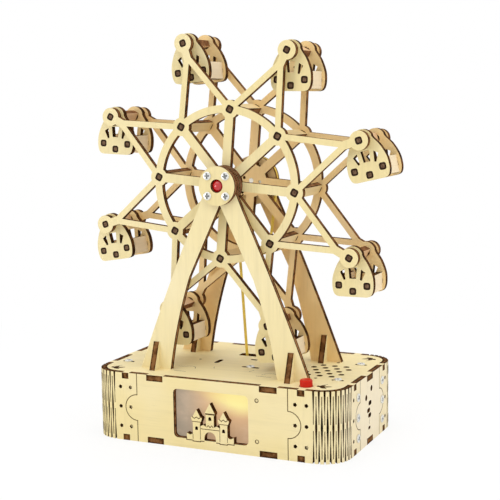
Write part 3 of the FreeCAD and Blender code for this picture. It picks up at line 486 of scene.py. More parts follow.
def sheet_core(*fronts):
    """Depth inside the rims of sheets that stand with their front faces at these Y."""
    def core(finish):
        depth = None
        for front in fronts:
            inside = -abs(finish.y - (front + PLY / 2)) + PLY / 2
            depth = inside if depth is None else depth.larger(inside)
        return depth * 0.8 - 0.1
    return core


def tenon_wood():
    """End of a tenon in its hole: brown wood in a scorched border, by the mark it carries."""
    finish = Finish("tenon_ends")
    scorch = finish.noise([0.8, 0.8, 0.8], 3.0, 0.6)
    wood = finish.mix(scorch.above(0.35, 0.65), paint(86, 62, 44), paint(124, 98, 74))
    finish.set(Base_Color=finish.mix(finish.mark().above(0.1, 0.9), paint(44, 26, 12), wood),
               Roughness=0.85, Specular_IOR_Level=0.2)
    finish.bump(scorch, 0.1, 0.4)
    return finish.material


def plain(name, colour, roughness, metallic=0.0, wear=0.08, bump_mm=0.02, recess_shade=False, **more):
    """A moulded or metal finish with a faint unevenness in its colour and polish."""
    finish = Finish(name)
    patch = finish.noise([0.25, 0.25, 0.25], 3.0, 0.6)
    speck = finish.noise([2.0, 2.0, 2.0], 2.0, 0.5)
    base = finish.mix(patch.above(0.35, 0.75) * 0.6, colour, shade(colour, 1.0 - wear * 3))
    # Painted shade: points that a piece marks, such as a screw's cross recess, are darkened.
    if recess_shade:
        base = finish.mix(finish.mark(), base, shade(colour, 0.28))
    finish.set(Base_Color=base, Roughness=(patch - 0.5) * wear + roughness, Metallic=metallic, **more)
    finish.bump(speck, bump_mm, 0.2)
    return finish.material


def lit_sheet():
    """Frosted sheet behind the window, with the light of a warm lamp at its upper right painted into its
    colour and emission.
    """
    finish = Finish("frosted_sheet")
    # All of this gradient is painted light: cooler and dimmer to the lower left, a painted glow and a bright
    # band at the upper right.
    right = finish.x.above(-19.0, 4.0)
    clouds = finish.noise([0.10, 0.02, 0.16], 3.0, 0.6)
    cool = finish.mix(finish.z.above(5.0, 24.0), paint(160, 145, 125), paint(172, 155, 133))
    warm = finish.mix(finish.z.above(6.0, 24.0), paint(190, 154, 118), paint(230, 185, 136))
    colour = finish.mix(right, cool, warm)
    across = (finish.x - 15.0) * 0.48
    drop = finish.z - 26.5
    painted_glow = (across * across + drop * drop).root() + clouds * 2.0
    colour = finish.mix(painted_glow.below(3.0, 12.0) * 0.95, colour, paint(255, 246, 160))
    painted_light_band = (finish.z + finish.x * 0.12).above(23.2, 27.0) * right
    colour = finish.mix(painted_light_band * 0.35, colour, paint(255, 222, 140))
    colour = finish.mix(clouds.above(0.45, 0.75) * 0.22, colour, paint(232, 200, 168))
    finish.set(Base_Color=finish.mix(0.85, colour, paint(0, 0, 0)), Emission_Color=colour,
               Emission_Strength=0.85, Roughness=0.6)
    finish.bump(clouds, 0.1, 0.3)
    return finish.material


def assign(material, *names):
    """Gives CAD nodes a material."""
    for name in names:
        slots = NODES[name].data.materials
        slots.clear()
        slots.append(material)


# ---- pieces worked out as surfaces ----------------------------------------------
def piece(name, shape, material, body, replaces=(), marks=None):
    """Makes a mesh from points in millimetres, and says what it rides on and stands for.

    Doubled points at poles are merged and the faces turned outwards. marks holds a number
    from 0 to 1 for every point, which the material may read.
    """
    points, faces = shape
    mesh = bpy.data.meshes.new(name)
    mesh.from_pydata((np.asarray(points, float) * 0.001).tolist(), [], [tuple(face) for face in faces])
    if marks is not None:
        layer = mesh.attributes.new("mark", "FLOAT", "POINT")
        layer.data.foreach_set("value", np.asarray(marks, np.float32))
    mesh.materials.append(material)
    work = bmesh.new()
    work.from_mesh(mesh)
    bmesh.ops.remove_doubles(work, verts=work.verts, dist=1e-6)
    bmesh.ops.recalc_face_normals(work, faces=work.faces)
    work.to_mesh(mesh)
    work.free()
    mesh.update()
    made = bpy.data.objects.new(name, mesh)
    bpy.context.scene.collection.objects.link(made)
    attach(made, body)
    if replaces:
        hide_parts(*replaces)
    return made


def smooth(made, angle=35.0):
    """Shades the piece smooth, apart from edges sharper than the angle."""
    mesh = made.data
    mesh.polygons.foreach_set("use_smooth", [True] * len(mesh.polygons))
    mesh.set_sharp_from_angle(angle=math.radians(angle))
    return made


def grid_faces(rows, columns, close_rows=False, close_columns=False):
    """Quads of a grid of points, numbered row by row."""
    index = np.arange(rows * columns).reshape(rows, columns)
    if close_rows:
        index = np.vstack([index, index[:1]])
    if close_columns:
        index = np.hstack([index, index[:, :1]])
    corners = [index[:-1, :-1], index[:-1, 1:], index[1:, 1:], index[1:, :-1]]
    return np.stack([corner.ravel() for corner in corners], axis=1)


def gather(shapes):
    """Joins (points, faces) pairs into one pair."""
    points, faces, count = [], [], 0
    for part_points, part_faces in shapes:
        points.append(part_points)
        faces += [[corner + count for corner in face] for face in part_faces]
        count += len(part_points)
    return np.concatenate(points), faces


def stood(points, level, plane):
    """Puts plane points at a level: XZ for a front, YZ for a side and XY for a plate."""
    u, v = np.asarray(points, float).T
    level = np.broadcast_to(level, u.shape)
    return np.stack({"XZ": (u, level, v), "YZ": (level, u, v), "XY": (u, v, level)}[plane], axis=1)


def turning_left(loop):
    """The loop in counter-clockwise order, by the sign of its area."""
    loop = np.asarray(loop, float)
    x, y = loop.T
    area = np.sum(x * np.roll(y, -1) - np.roll(x, -1) * y)
    return loop if area > 0 else loop[::-1]


def sheet(outlines, holes, low, high, plane="XZ"):
    """Flat sheet of the joined outlines less the holes, from a low to a high level.

    The outlines' edges cut the plane into triangles, and a triangle stays when it lies in some
    outline and in no hole. The stay is drawn at both levels, and a wall joins the two along
    every edge that has a triangle on one side only.
    """
    loops = [turning_left(loop) for loop in (*outlines, *holes)]
    ends = np.cumsum([0] + [len(loop) for loop in loops])
    rings = [list(range(a, b)) for a, b in zip(ends, ends[1:])]
    found = delaunay_2d_cdt([Vector(point) for point in np.vstack(loops)], [], rings, 1, 1e-5)
    flat = np.array([point[:] for point in found[0]])
    kept = np.array([face for face, inside in zip(found[2], found[5])
                     if inside and max(inside) < len(outlines)])
    a, b, c = (flat[kept[:, k]] for k in range(3))
    turn = (b - a)[:, 0] * (c - a)[:, 1] - (b - a)[:, 1] * (c - a)[:, 0]
    kept[turn < 0] = kept[turn < 0][:, ::-1]
    edges = np.vstack([kept[:, (0, 1)], kept[:, (1, 2)], kept[:, (2, 0)]])
    key = edges[:, 0] * len(flat) + edges[:, 1]
    rim = edges[~np.isin(key, edges[:, 1] * len(flat) + edges[:, 0])]
    walls = np.hstack([rim, rim[:, ::-1] + len(flat)])
    points = np.vstack([stood(flat, low, plane), stood(flat, high, plane)])
    return points, kept[:, ::-1].tolist() + (kept + len(flat)).tolist() + walls.tolist()


def lathe(profile, steps, centre, axis="Y"):
    """Surface of revolution from (radius, height) points.

    Point (i, j) is (r_i cos t_j, h_i, r_i sin t_j) with t_j = 2 pi j / steps; a profile that
    starts and ends on the axis, or at its own start, closes the surface.
    """
    profile = np.asarray(profile, float)
    turn = 2 * np.pi * np.arange(steps) / steps
    radius, height = profile[:, :1], profile[:, 1:]
    level = np.broadcast_to(height, (len(profile), steps))
    if axis == "Y":
        points = np.stack([radius * np.cos(turn), level, radius * np.sin(turn)], axis=-1)
    else:
        points = np.stack([radius * np.cos(turn), -radius * np.sin(turn), level], axis=-1)
    closed = bool(np.allclose(profile[0], profile[-1]))
    rows = len(profile) - 1 if closed else len(profile)
    faces = grid_faces(rows, steps, close_rows=closed, close_columns=True)
    return points[:rows].reshape(-1, 3) + np.asarray(centre, float), faces


def line(path, width, plane, level, close=False, proud=0.012, deep=0.06):
    """Scorched line along a path of plane points: a thin slab that lies on a face.

    Every point is moved half the width to both sides, along the mean normal of the two
    stretches that meet there, and doubled just above and below the face.
    """
    path = np.asarray(path, float)
    ring = np.vstack([path[-1:], path, path[:1]]) if close else path
    run = np.diff(ring, axis=0)
    run /= np.linalg.norm(run, axis=1, keepdims=True)
    before, after = (run[:-1], run[1:]) if close else (np.vstack([run[:1], run]), np.vstack([run, run[-1:]]))
    mean = before + after
    mean /= np.linalg.norm(mean, axis=1, keepdims=True)
    normal = np.stack([-mean[:, 1], mean[:, 0]], axis=1)
    offset = normal * (width / 2 / np.clip(np.sum(mean * before, axis=1), 0.5, 1.0))[:, None]
    out = 1.0 if level > 0 else -1.0
    corners = [stood(path + side * offset, level + out * lift, plane)
               for side, lift in ((1, proud), (-1, proud), (-1, -deep), (1, -deep))]
    points = np.stack(corners, axis=1).reshape(-1, 3)
    faces = grid_faces(len(path), 4, close_rows=close, close_columns=True).tolist()
    if not close:
        last = 4 * (len(path) - 1)
        faces += [[0, 1, 2, 3], [last + 3, last + 2, last + 1, last]]
    return points, faces


def patch(outline, plane, level, proud=0.012, deep=0.06):
    """Scorched patch within an outline on a face."""
    out = 1.0 if level > 0 else -1.0
    return sheet([outline], [], *sorted((level - out * deep, level + out * proud)), plane)


def placed(shape, place, towards, turn=0.0):
    """Turns a (points, faces) shape about +Z, then from +Z to an axis, and moves it."""
    points, faces = shape
    x, y, z = points.T
    x, y = x * math.cos(turn) - y * math.sin(turn), x * math.sin(turn) + y * math.cos(turn)
    turned = {"+X": (z, x, y), "-X": (-z, -x, y), "+Z": (x, y, z), "-Y": (x, -z, y), "+Y": (-x, z, y)}
    return np.stack(turned[towards], axis=1) + np.asarray(place, float), faces


# ---- finishes of the CAD nodes --------------------------------------------------
def dress_nodes():
    """Gives every CAD node its finish, also those that a smoother piece stands for."""
    assign(PLATE_WOOD, "bottom_plate", "top_plate")
    assign(WALL_WOOD, "front_panel", "rear_panel")
    assign(SIDE_WOOD, "left_panel", "right_panel", "seam_straps")
    assign(BENT_WOOD, *(f"corner_{end}_{side}" for end in ("rear", "front") for side in ("right", "left")))
    assign(plywood("ply_castle", facing_y), "castle_cutout")
    assign(FRONT_LEG_WOOD, "front_a_frame")
    # The rear legs' tan is partly their own tone and partly painted shade for the rear of the object.
    assign(plywood("ply_rear_legs", facing_y, tone=TAN), "rear_a_frame")
    assign(CAP_WOOD, "front_hub_cap", "rear_hub_cap", "gear_plates", "crank_arm", "wheel_hub_disc",
           "wheel_pulley")
    assign(FRONT_FRAME_WOOD, "front_wheel_frame")
    assign(REAR_FRAME_WOOD, "rear_wheel_frame")
    for number in range(SEATS):
        assign(CAR_WOOD, f"gondola_{number + 1}_sides")
        boards = plywood(f"ply_boards_{number + 1}", board_faces(number), along="Y", tone=PALE_HONEY)
        assign(boards, f"gondola_{number + 1}_boards")
    assign(lit_sheet(), "window_diffuser")
    assign(BRIGHT_STEEL, "case_screws", "stub_axles", "drive_shaft", "crank_shaft")
    assign(NYLON_WHITE, "axle_bushings", "drive_pinion", "crank_gear")
    assign(plain("moulded_black", paint(34, 34, 36), 0.5), "button_switch", "speaker", "battery_box")
    assign(plain("board_green", paint(22, 58, 34), 0.5), "sound_board")
    assign(plain("lamp_clear", paint(250, 240, 200), 0.2), "window_lamp")
    assign(plain("cell_jacket", paint(52, 62, 78), 0.4, metallic=0.4), "battery_cells")
    assign(YELLOW_RUBBER, "drive_belt")
    assign(RED_GLOSS, "push_button", "hub_jewel")
    assign(TURNED_WOOD, "crank_knob")


# ---- the base -------------------------------------------------------------------
def make_top_plate():
    """Top plate inside the walls, with tabs through them and every slot and hole."""
    half_x, half_y = HALF_WIDTH - PLY, HALF_DEPTH - PLY
    outlines = [rounded_box(0, 0, half_x, half_y, CORNER_RADIUS - PLY, steps=16)]
    for side in (-1, 1):
        y0, y1 = side * (half_y - PLY), side * HALF_DEPTH
        for a, b in (BIG_TAB, SMALL_TAB):
            outlines += [box(flip * a, y0, flip * b, y1) for flip in (-1, 1)]
        for a, b in (SIDE_BIG_TAB, SIDE_SMALL_TAB, (-SIDE_SMALL_TAB[1], -SIDE_SMALL_TAB[0])):
            outlines.append(box(side * (half_x - PLY), a, side * HALF_WIDTH, b))
    holes = [long_hole(*slot) for slot in (BELT_SLOT, *TOP_SLOTS)]
    holes += [circle(*hole) for hole in TOP_HOLES]
    holes += [long_hole(x, y, length / 2, width / 2) for x, y, length, width in PLATE_SCREWS]
    for row in range(-2, 3):
        count = 4 if row % 2 else 3
        y = SPEAKER_Y + row * SPEAKER_ROW
        holes += [circle(SPEAKER_X + (k - (count - 1) / 2) * SPEAKER_PITCH, y, SPEAKER_HOLE, 24)
                  for k in range(count)]
    half = PLY / 2
    for front in (FRONT_LEG_Y, REAR_LEG_Y):
        for side in (-1, 1):
            holes += [box(side * a, front, side * b, front + PLY) for a, b in LEG_TABS]
            x = side * GUSSET_X
            holes.append(box(x - half, front - half, x + half, front + PLY + half))
    piece("cut_top_plate", sheet(outlines, holes, BASE_TOP - PLY, BASE_TOP, "XY"), PLATE_WOOD, "base",
          ["top_plate"])


def make_gussets():
    """Small braces astride the legs, each with a foot on the plate and a tenon through it."""
    half = PLY / 2
    shoulder = 1.9
    profile = mirrored([(half, GUSSET_SPLIT), (half, GUSSET_TOP), (shoulder, GUSSET_TOP),
                        (GUSSET_REACH, BASE_TOP), (PLY, BASE_TOP), (PLY, BASE_TOP - PLY)])
    sheets = [sheet([profile + (front + half, 0)], [], side * GUSSET_X - half, side * GUSSET_X + half, "YZ")
              for front in (FRONT_LEG_Y, REAR_LEG_Y) for side in (-1, 1)]
    piece("cut_gussets", gather(sheets), GUSSET_WOOD, "base", ["leg_gussets"])


def make_side_panels():
    """Side walls with round tongues, notches for the plates' tabs and a row of vents."""
    half = SEAM_Y - SEAM_GAP
    outlines = [box(-half, 0, half, BASE_TOP)]
    outlines += [circle(side * SEAM_Y, MID_HEIGHT, TONGUE_RADIUS - SEAM_GAP, 64) for side in (-1, 1)]
    holes = [box(SIDE_BIG_TAB[0], low, SIDE_BIG_TAB[1], low + PLY) for low in (0, BASE_TOP - PLY)]
    holes += [circle(*hole) for hole in SIDE_HOLES]
    holes += [long_hole(*slot) for slot in SIDE_SLOTS]
    for name, low in (("left", -HALF_WIDTH), ("right", HALF_WIDTH - PLY)):
        piece(f"cut_{name}_panel", sheet(outlines, holes, low, low + PLY, "YZ"), SIDE_WOOD, "base",
              [f"{name}_panel"])


def screw_head():
    """Pan head with a cross recess, its seat on height 0 and its axis along +Z.

    Height is a shallow dome less a recess, deepest at the middle, wherever a point is within
    the arm's width of one of the two cross lines. The second result marks the recess.
    """
    radius, height, steps = 2.0, 0.85, 48
    arm_half, arm_reach, recess_depth = 0.38, 1.3, 0.45
    shank = [(radius, 0.0), (0.75, 0.0), (0.75, -3.2), (0.4, -4.2), (0.0, -4.4)]
    rings = radius * np.array([0.0, 0.08, 0.16, 0.24, 0.33, 0.42, 0.52, 0.61, 0.69, 0.78, 0.88, 0.96, 1.0])
    turn = 2 * np.pi * (np.arange(steps) + 0.5) / steps
    r, t = np.meshgrid(rings, turn, indexing="ij")
    dome = height * (1.0 - 0.22 * (r / radius) ** 2 - 16.5 * np.clip(r / radius - 0.9, 0, 1) ** 2)
    from_arm = r * np.sin(np.abs((t + np.pi / 4) % (np.pi / 2) - np.pi / 4))
    recess = (from_arm < arm_half) & (r < arm_reach)
    top = np.stack([r * np.cos(t), r * np.sin(t), np.where(recess, dome - recess_depth, dome)], axis=-1)
    seat = np.array(shank)
    under = np.stack([seat[:, :1] * np.cos(turn), seat[:, :1] * np.sin(turn),
                      np.broadcast_to(seat[:, 1:], (len(seat), steps))], axis=-1)
    points = np.concatenate([top, under])
    marks = np.concatenate([recess.ravel(), np.zeros(len(seat) * steps)])
    return (points.reshape(-1, 3), grid_faces(len(points), steps, close_columns=True)), marks


def make_screws():
    """Cross-head screws in the side walls, the top plate and both hub caps, each turned its own way."""
    spots = []
    for side in (-1, 1):
        for depth in (-SIDE_SCREW_Y, SIDE_SCREW_Y):
            for rise in (-HOLE_ROW, 0, HOLE_ROW):
                spots.append(((side * HALF_WIDTH, depth, MID_HEIGHT + rise), "+X" if side > 0 else "-X"))
    spots += [((x, y, BASE_TOP), "+Z") for x, y, *_ in PLATE_SCREWS]
    for across in (-HUB_SCREW, HUB_SCREW):
        for up in (-HUB_SCREW, HUB_SCREW):
            spots.append(((across, FRONT_LEG_Y - PLY, AXLE_HEIGHT + up), "-Y"))
            spots.append(((across, REAR_LEG_Y + 2 * PLY, AXLE_HEIGHT + up), "+Y"))
    head, marks = screw_head()
    shape = gather([placed(head, place, towards, 2.4 * number)
                    for number, (place, towards) in enumerate(spots)])
    piece("cross_head_screws", shape, BRIGHT_STEEL, "base", ["case_screws"],
          np.tile(marks, len(spots)))


def make_seams():
    """Dark seams between the walls and the bent strips, round the tongues."""
    lines = []
    for seam, plane, face in ((SEAM_X, "XZ", HALF_DEPTH), (SEAM_Y, "YZ", HALF_WIDTH)):
        for side in (-1, 1):
            end = -90 if side > 0 else 270
            round_tongue = arc(side * seam, MID_HEIGHT, TONGUE_RADIUS, 90, end, 28)
            path = np.vstack([[(side * seam, BASE_TOP - 0.02)], round_tongue, [(side * seam, 0.02)]])
            lines += [line(path, SEAM_LINE, plane, level) for level in (-face, face)]
    piece("wall_seams", gather(lines), SEAM_DARK, "base")


def make_cut_tips():
    """Fine dark ends of the cuts in the bent corners, where a cut is only the laser's width.

    Each is an upright slab on the bend, a few millimetres long: open cuts end beside the
    middle bridge, closed ones near the top and bottom.
    """
    cuts, length, half_width = 16, 4.2, 0.17
    bridge, margin = 1.5, 2.3
    section = ((0.03, half_width), (0.03, -half_width), (-0.4, -half_width), (-0.4, half_width))
    faces = grid_faces(2, 4, close_columns=True).tolist() + [[3, 2, 1, 0], [4, 5, 6, 7]]
    centre = np.array([BEND_X, BEND_Y, 0.0])
    slabs = []
    for number in range(cuts + 1):
        turn = math.radians(90.0 * number / cuts)
        out = np.array([math.cos(turn), math.sin(turn), 0.0])
        side = np.array([-math.sin(turn), math.cos(turn), 0.0])
        ring = [centre + out * (CORNER_RADIUS + lift) + side * across for lift, across in section]
        tips = (((MID_HEIGHT - bridge, -1), (MID_HEIGHT + bridge, 1)) if number % 2 == 0
                else ((margin, 1), (BASE_TOP - margin, -1)))
        for start, way in tips:
            ends = sorted((start, start + way * length))
            slab = np.array([point + (0, 0, z) for z in ends for point in ring])
            slabs += [(slab * (u, v, 1), faces) for u in (-1, 1) for v in (-1, 1)]
    piece("corner_cut_tips", gather(slabs), TIP_DARK, "base")


def make_pilot_backs():
    """Pale straps seen a little way down the inner screw holes and the holes by the window."""
    thickness = 0.5
    discs = [(-43.5, rise, 1.04, 1.1) for rise in (-HOLE_ROW, 0, HOLE_ROW)]
    discs.append((49.1, -HOLE_ROW, 1.04, 1.1))
    discs += [(WINDOW_SCREW_X, rise, 0.85, 0.2) for rise in (-HOLE_ROW, HOLE_ROW)]
    shapes = [sheet([circle(x, MID_HEIGHT + rise, radius, 20)], [],
                    down - HALF_DEPTH, down - HALF_DEPTH + thickness)
              for x, rise, radius, down in discs]
    piece("pilot_hole_backs", gather(shapes), WALL_WOOD, "base")


def leaf(x, y, length, width, angle):
    """Pointed leaf from (x, y): two arcs that meet at its tip."""
    t = np.linspace(0, 1, 9)
    half = width / 2 * np.sin(np.pi * t) ** 0.8
    points = np.vstack([np.stack([length * t, half], axis=1), np.stack([length * t, -half], axis=1)[-2:0:-1]])
    return clockwise(points, -math.radians(angle)) + (x, y)


def leaf_sprays():
    """Four leaves and a curved stem by each corner of the top plate."""
    shapes = []
    for x, y, turn in ((-57.2, -33.4, 30), (52.4, -32.2, 25), (57.2, 31.4, 205), (-51.5, 31.4, 330)):
        for swing, length in ((-44, 4.14), (2, 5.98), (46, 4.37), (100, 2.99)):
            shapes.append(patch(leaf(x, y, length, 1.9, turn + swing), "XY", BASE_TOP))
        stem = [(x, y)]
        for reach, swing in ((2.6, 70), (6.4, 48)):
            angle = math.radians(turn + swing)
            stem.append((x + reach * math.cos(angle), y + reach * math.sin(angle)))
        shapes.append(line(through(stem, 8), 0.4, "XY", BASE_TOP))
    return shapes


def plate_flourishes():
    """Short rules and curls at the front of the top plate."""
    curl = np.array([(18.0, -20.6), (19.6, -17.4), (22.6, -16.4), (25.4, -18.2), (28.4, -18.6)])
    tick = np.array([(9.5, -16.6), (10.9, -13.6)])
    shapes = [line([(x0, y), (x1, y)], 0.3, "XY", BASE_TOP)
              for x0, x1, y in ((-26.0, -19.5, -27.4), (16.5, 24.5, -23.6))]
    for side in (-1, 1):
        shapes.append(line(through(curl * (side, 1), 8), 0.22, "XY", BASE_TOP))
        shapes.append(line(tick * (side, 1), 0.22, "XY", BASE_TOP))
    return shapes


def castle_lines():
    """Roof edges, courses, tower sides and stepped foot of the castle."""
    paths = [([(CASTLE_X - 1.8 + 0.9 * k, 12.2 if k % 2 else 11.3) for k in range(5)], 0.38),
             ([(CASTLE_X - 4.9, 10.2), (CASTLE_X + 4.9, 10.2)], 0.34)]
    foot = np.array([(12.6, 5.2), (12.6, 4.1), (9.2, 4.1), (9.15, 3.7), (5.2, 3.7), (5.15, 4.1), (3.1, 4.1)])
    for side in (-1, 1):
        x = CASTLE_X + side * TOWER_X
        inner, outer = x - side * 1.98, x + side * 1.98
        paths += [([(x - 2.25 + 1.125 * k, 14.95 if k % 2 else 15.75) for k in range(5)], 0.38),
                  ([(x - 2.3, 13.4), (x + 2.3, 13.4)], 0.34),
                  ([(inner, 4.8), (inner, 12.7)], 0.28),
                  ([(outer, 4.8), (outer, 7.2)], 0.28),
                  (foot * (side, 1) + (CASTLE_X, 0), 0.42)]
    shapes = [line(path, width, "XZ", -HALF_DEPTH) for path, width in paths]
    return shapes + [patch(box(CASTLE_X - 2.4, 17.4, CASTLE_X + 2.4, 18.1), "XZ", -HALF_DEPTH)]


def make_engraving():
    """Scorched lines on the top plate, the castle, the window's screw holes and the right wall."""
    rings = [line(circle(WINDOW_SCREW_X, MID_HEIGHT + rise, 0.9, 20), 0.3, "XZ", -HALF_DEPTH, close=True)
             for rise in (-HOLE_ROW, HOLE_ROW)]
    score = line([(-0.9, 9.4), (-0.9, 12.2)], 0.26, "YZ", HALF_WIDTH)
    shapes = leaf_sprays() + plate_flourishes() + castle_lines() + rings + [score]
    piece("engraved_lines", gather(shapes), SCORCHED, "base")


# ---- the wheel ------------------------------------------------------------------
def arm_pair(number):
    """Two arms that run from neighbouring spokes to a gondola's eye and merge in a neck."""
    node_out = RING_RADIUS * math.cos(math.pi / SEATS)
    node_side = RING_RADIUS * math.sin(math.pi / SEATS)
    lean = math.atan2(node_side, ARMS_MEET - node_out)
    half, neck = ARM_WIDTH / 2, NECK_WIDTH / 2
    outer = (node_side + half * math.cos(lean), node_out + half * math.sin(lean))
    inner = (node_side - half * math.cos(lean), node_out - half * math.sin(lean))
    merge = outer[1] + (outer[0] - neck) / math.tan(lean)
    right = [(neck, EYE_RADIUS), (neck, merge), outer, inner, (0, ARMS_MEET - half / math.sin(lean))]
    points = np.vstack([right, np.array(right[:-1])[::-1] * (-1, 1)])
    return clockwise(points, eye_angle(number)) + (0, AXLE_HEIGHT)


def ring_sector(number):
    """Part of the ring from one spoke to the next."""
    start = 90.0 - math.degrees(seat_angle(number))
    step = 360.0 / SEATS
    return np.vstack([arc(0, AXLE_HEIGHT, RING_OUTER, start, start - step, 16),
                      arc(0, AXLE_HEIGHT, RING_INNER, start - step, start, 16)])


def make_wheel_frames():
    """Front and rear frame: hub, spokes, ring, pads, arms and eyes in one sheet each."""
    outlines = [[polar(WHEEL_HUB, seat_angle(number)) for number in range(SEATS)]]
    holes = [circle(0, AXLE_HEIGHT, AXLE_RADIUS, 24)]
    for number in range(SEATS):
        node = polar(RING_RADIUS, seat_angle(number))
        eye = polar(EYE_RADIUS, eye_angle(number))
        outlines += [bar((0, AXLE_HEIGHT), node, SPOKE_WIDTH), ring_sector(number),
                     circle(*node, PAD_RADIUS), circle(*eye, EYE_OUTER), arm_pair(number)]
        holes += [rounded_box(*node, NODE_HOLE, NODE_HOLE, TENON_CORNER, eye_angle(1)),
                  rounded_box(*eye, TENON_HOLE, TENON_HOLE, TENON_CORNER, eye_angle(number))]
    rear_holes = [circle(x, AXLE_HEIGHT + rise, 0.8, 16) for x, rise in REAR_FRAME_HOLES]
    for label, low, wood, more in (("front", FRONT_FRAME_Y, FRONT_FRAME_WOOD, []),
                                   ("rear", REAR_FRAME_Y, REAR_FRAME_WOOD, rear_holes)):
        piece(f"{label}_wheel_sheet", sheet(outlines, holes + more, low, low + PLY), wood, "wheel",
              [f"{label}_wheel_frame"])


def tenon_ends(name, body, spots):
    """Square ends of tenons of half a width, each from its outer face y_out to y_in.

    Rings of one rounded square shrink towards its middle on the outer face; the middle is
    marked 1 and the scorched border 0.
    """
    scale = np.array([0.0, 0.38, 0.68, 1.0, 1.0, 0.0])
    shapes = []
    for x, z, angle, half, y_out, y_in in spots:
        ring = rounded_box(0, 0, half, half, TENON_CORNER - TENON_GAP, angle)
        rows = scale[:, None, None] * ring[None] + (x, z)
        level = np.array([y_out] * 4 + [y_in] * 2)[:, None]
        points = np.stack([rows[..., 0], np.broadcast_to(level, rows.shape[:2]), rows[..., 1]], axis=-1)
        shapes.append((points.reshape(-1, 3), grid_faces(len(scale), len(ring), close_columns=True)))
    marks = np.tile(np.repeat([1.0, 1.0, 0.0, 0.0, 0.0, 0.0], len(ring)), len(spots))
    piece(name, gather(shapes), TENON_WOOD, body, marks=marks)


def make_gondola_strips():
    """Square strips through the eyes, and a wider board on each between the gondola's plates."""
    strips, boards = [], []
    inset, clearance = 0.2, 0.15
    for number in range(SEATS):
        angle = eye_angle(number)
        place = polar(EYE_RADIUS, angle)
        strips.append(sheet([rounded_box(*place, PLY / 2, PLY / 2, 0.15, angle)], [],
                            FRONT_FRAME_Y + inset, REAR_FRAME_Y + PLY - inset))
        boards.append(sheet([rounded_box(*place, *PIVOT_BOARD, BOARD_CORNER, angle)], [],
                            CAR_FRONT_Y + PLY + clearance, CAR_REAR_Y - clearance))
    piece("square_gondola_strips", gather(strips), STRIP_WOOD, "wheel", ["gondola_axles"])
    piece("gondola_pivot_boards", gather(boards), PIVOT_WOOD, "wheel")


def make_crossbars():
    """Eight boards between the two rings, set square to one direction of the wheel."""
    boards = []
    for number in range(SEATS):
        node = polar(RING_RADIUS, seat_angle(number))
        angle = eye_angle(number // 2 * 2 + 1)
        boards.append(sheet([rounded_box(*node, *RING_BOARD, BOARD_CORNER, angle)], [],
                            FRONT_FRAME_Y + PLY, REAR_FRAME_Y))
    piece("ring_boards", gather(boards), RING_BOARD_WOOD, "wheel", ["crossbars"])


def make_wheel_tenons():
    """Ends of the ring's boards, set to one direction, and of the strips, set to the axle."""
    spots = []
    for number in range(SEATS):
        node = (*polar(RING_RADIUS, seat_angle(number)), eye_angle(1), NODE_HOLE - TENON_GAP)
        eye = (*polar(EYE_RADIUS, eye_angle(number)), eye_angle(number), TENON_HOLE - TENON_GAP)
        for end in (node, eye):
            spots.append((*end, FRONT_FRAME_Y + TENON_INSET, FRONT_FRAME_Y + PLY))
            spots.append((*end, REAR_FRAME_Y + PLY - TENON_INSET, REAR_FRAME_Y))
    tenon_ends("wheel_tenon_ends", "wheel", spots)


def hub_sheet(radius, hole, y0, y1):
    """Round sheet about the axle with a round hole."""
    return sheet([circle(0, AXLE_HEIGHT, radius, 72)], [circle(0, AXLE_HEIGHT, hole)], y0, y1)


def make_hub_discs():
    """Caps outside both A-frames and the hub disc in front of the wheel."""
    for name, node, low, thickness, hole, body in (
            ("round_front_cap", "front_hub_cap", FRONT_LEG_Y - PLY, PLY, HUB_HOLE, "base"),
            ("round_rear_cap", "rear_hub_cap", REAR_LEG_Y + PLY, PLY, HUB_HOLE, "base"),
            ("round_hub_disc", "wheel_hub_disc", FRONT_FRAME_Y - HUB_DISC, HUB_DISC, AXLE_RADIUS, "wheel")):
        piece(name, hub_sheet(HUB_RADIUS, hole, low, low + thickness), CAP_WOOD, body, [node])


def make_leg_heads():
    """Round rims over the heads of the A-frames, a hair wider and thinner than the heads."""
    wider, thinner = 0.02, 0.008
    for label, low in (("front", FRONT_LEG_Y), ("rear", REAR_LEG_Y)):
        head = hub_sheet(HUB_RADIUS + wider, HUB_HOLE + 0.5, low + thinner, low + PLY - thinner)
        piece(f"{label}_leg_head", head, CAP_WOOD, "base")


def make_rivet():
    """Pale rivet in one of the rear frame's holes."""
    x, rise = REAR_FRAME_HOLES[1]
    radius, y0, y1 = 0.78, REAR_FRAME_Y + 0.4, REAR_FRAME_Y + PLY
    shape = lathe([(0, y0), (radius, y0), (radius, y1), (0, y1)], 24, (x, 0, AXLE_HEIGHT + rise))
    piece("pale_rivet", shape, NYLON_WHITE, "wheel")


def make_pulley():
    """Large pulley behind the rear frame, with a groove that narrows to the belt's width."""
    y0, y1 = REAR_FRAME_Y + PLY, REAR_LEG_Y - 0.2
    rim, floor = BELT_LARGE + 0.5, BELT_LARGE - BELT_RADIUS
    mouth, bed = 0.9, 0.65
    profile = [(AXLE_RADIUS, y0), (rim, y0), (rim, BELT_Y - mouth), (floor, BELT_Y - bed),
               (floor, BELT_Y + bed), (rim, BELT_Y + mouth), (rim, y1), (AXLE_RADIUS, y1), (AXLE_RADIUS, y0)]
    smooth(piece("grooved_pulley", lathe(profile, 72, (0, 0, AXLE_HEIGHT)), PULLEY_WOOD, "wheel",
                 ["wheel_pulley"]), 30)


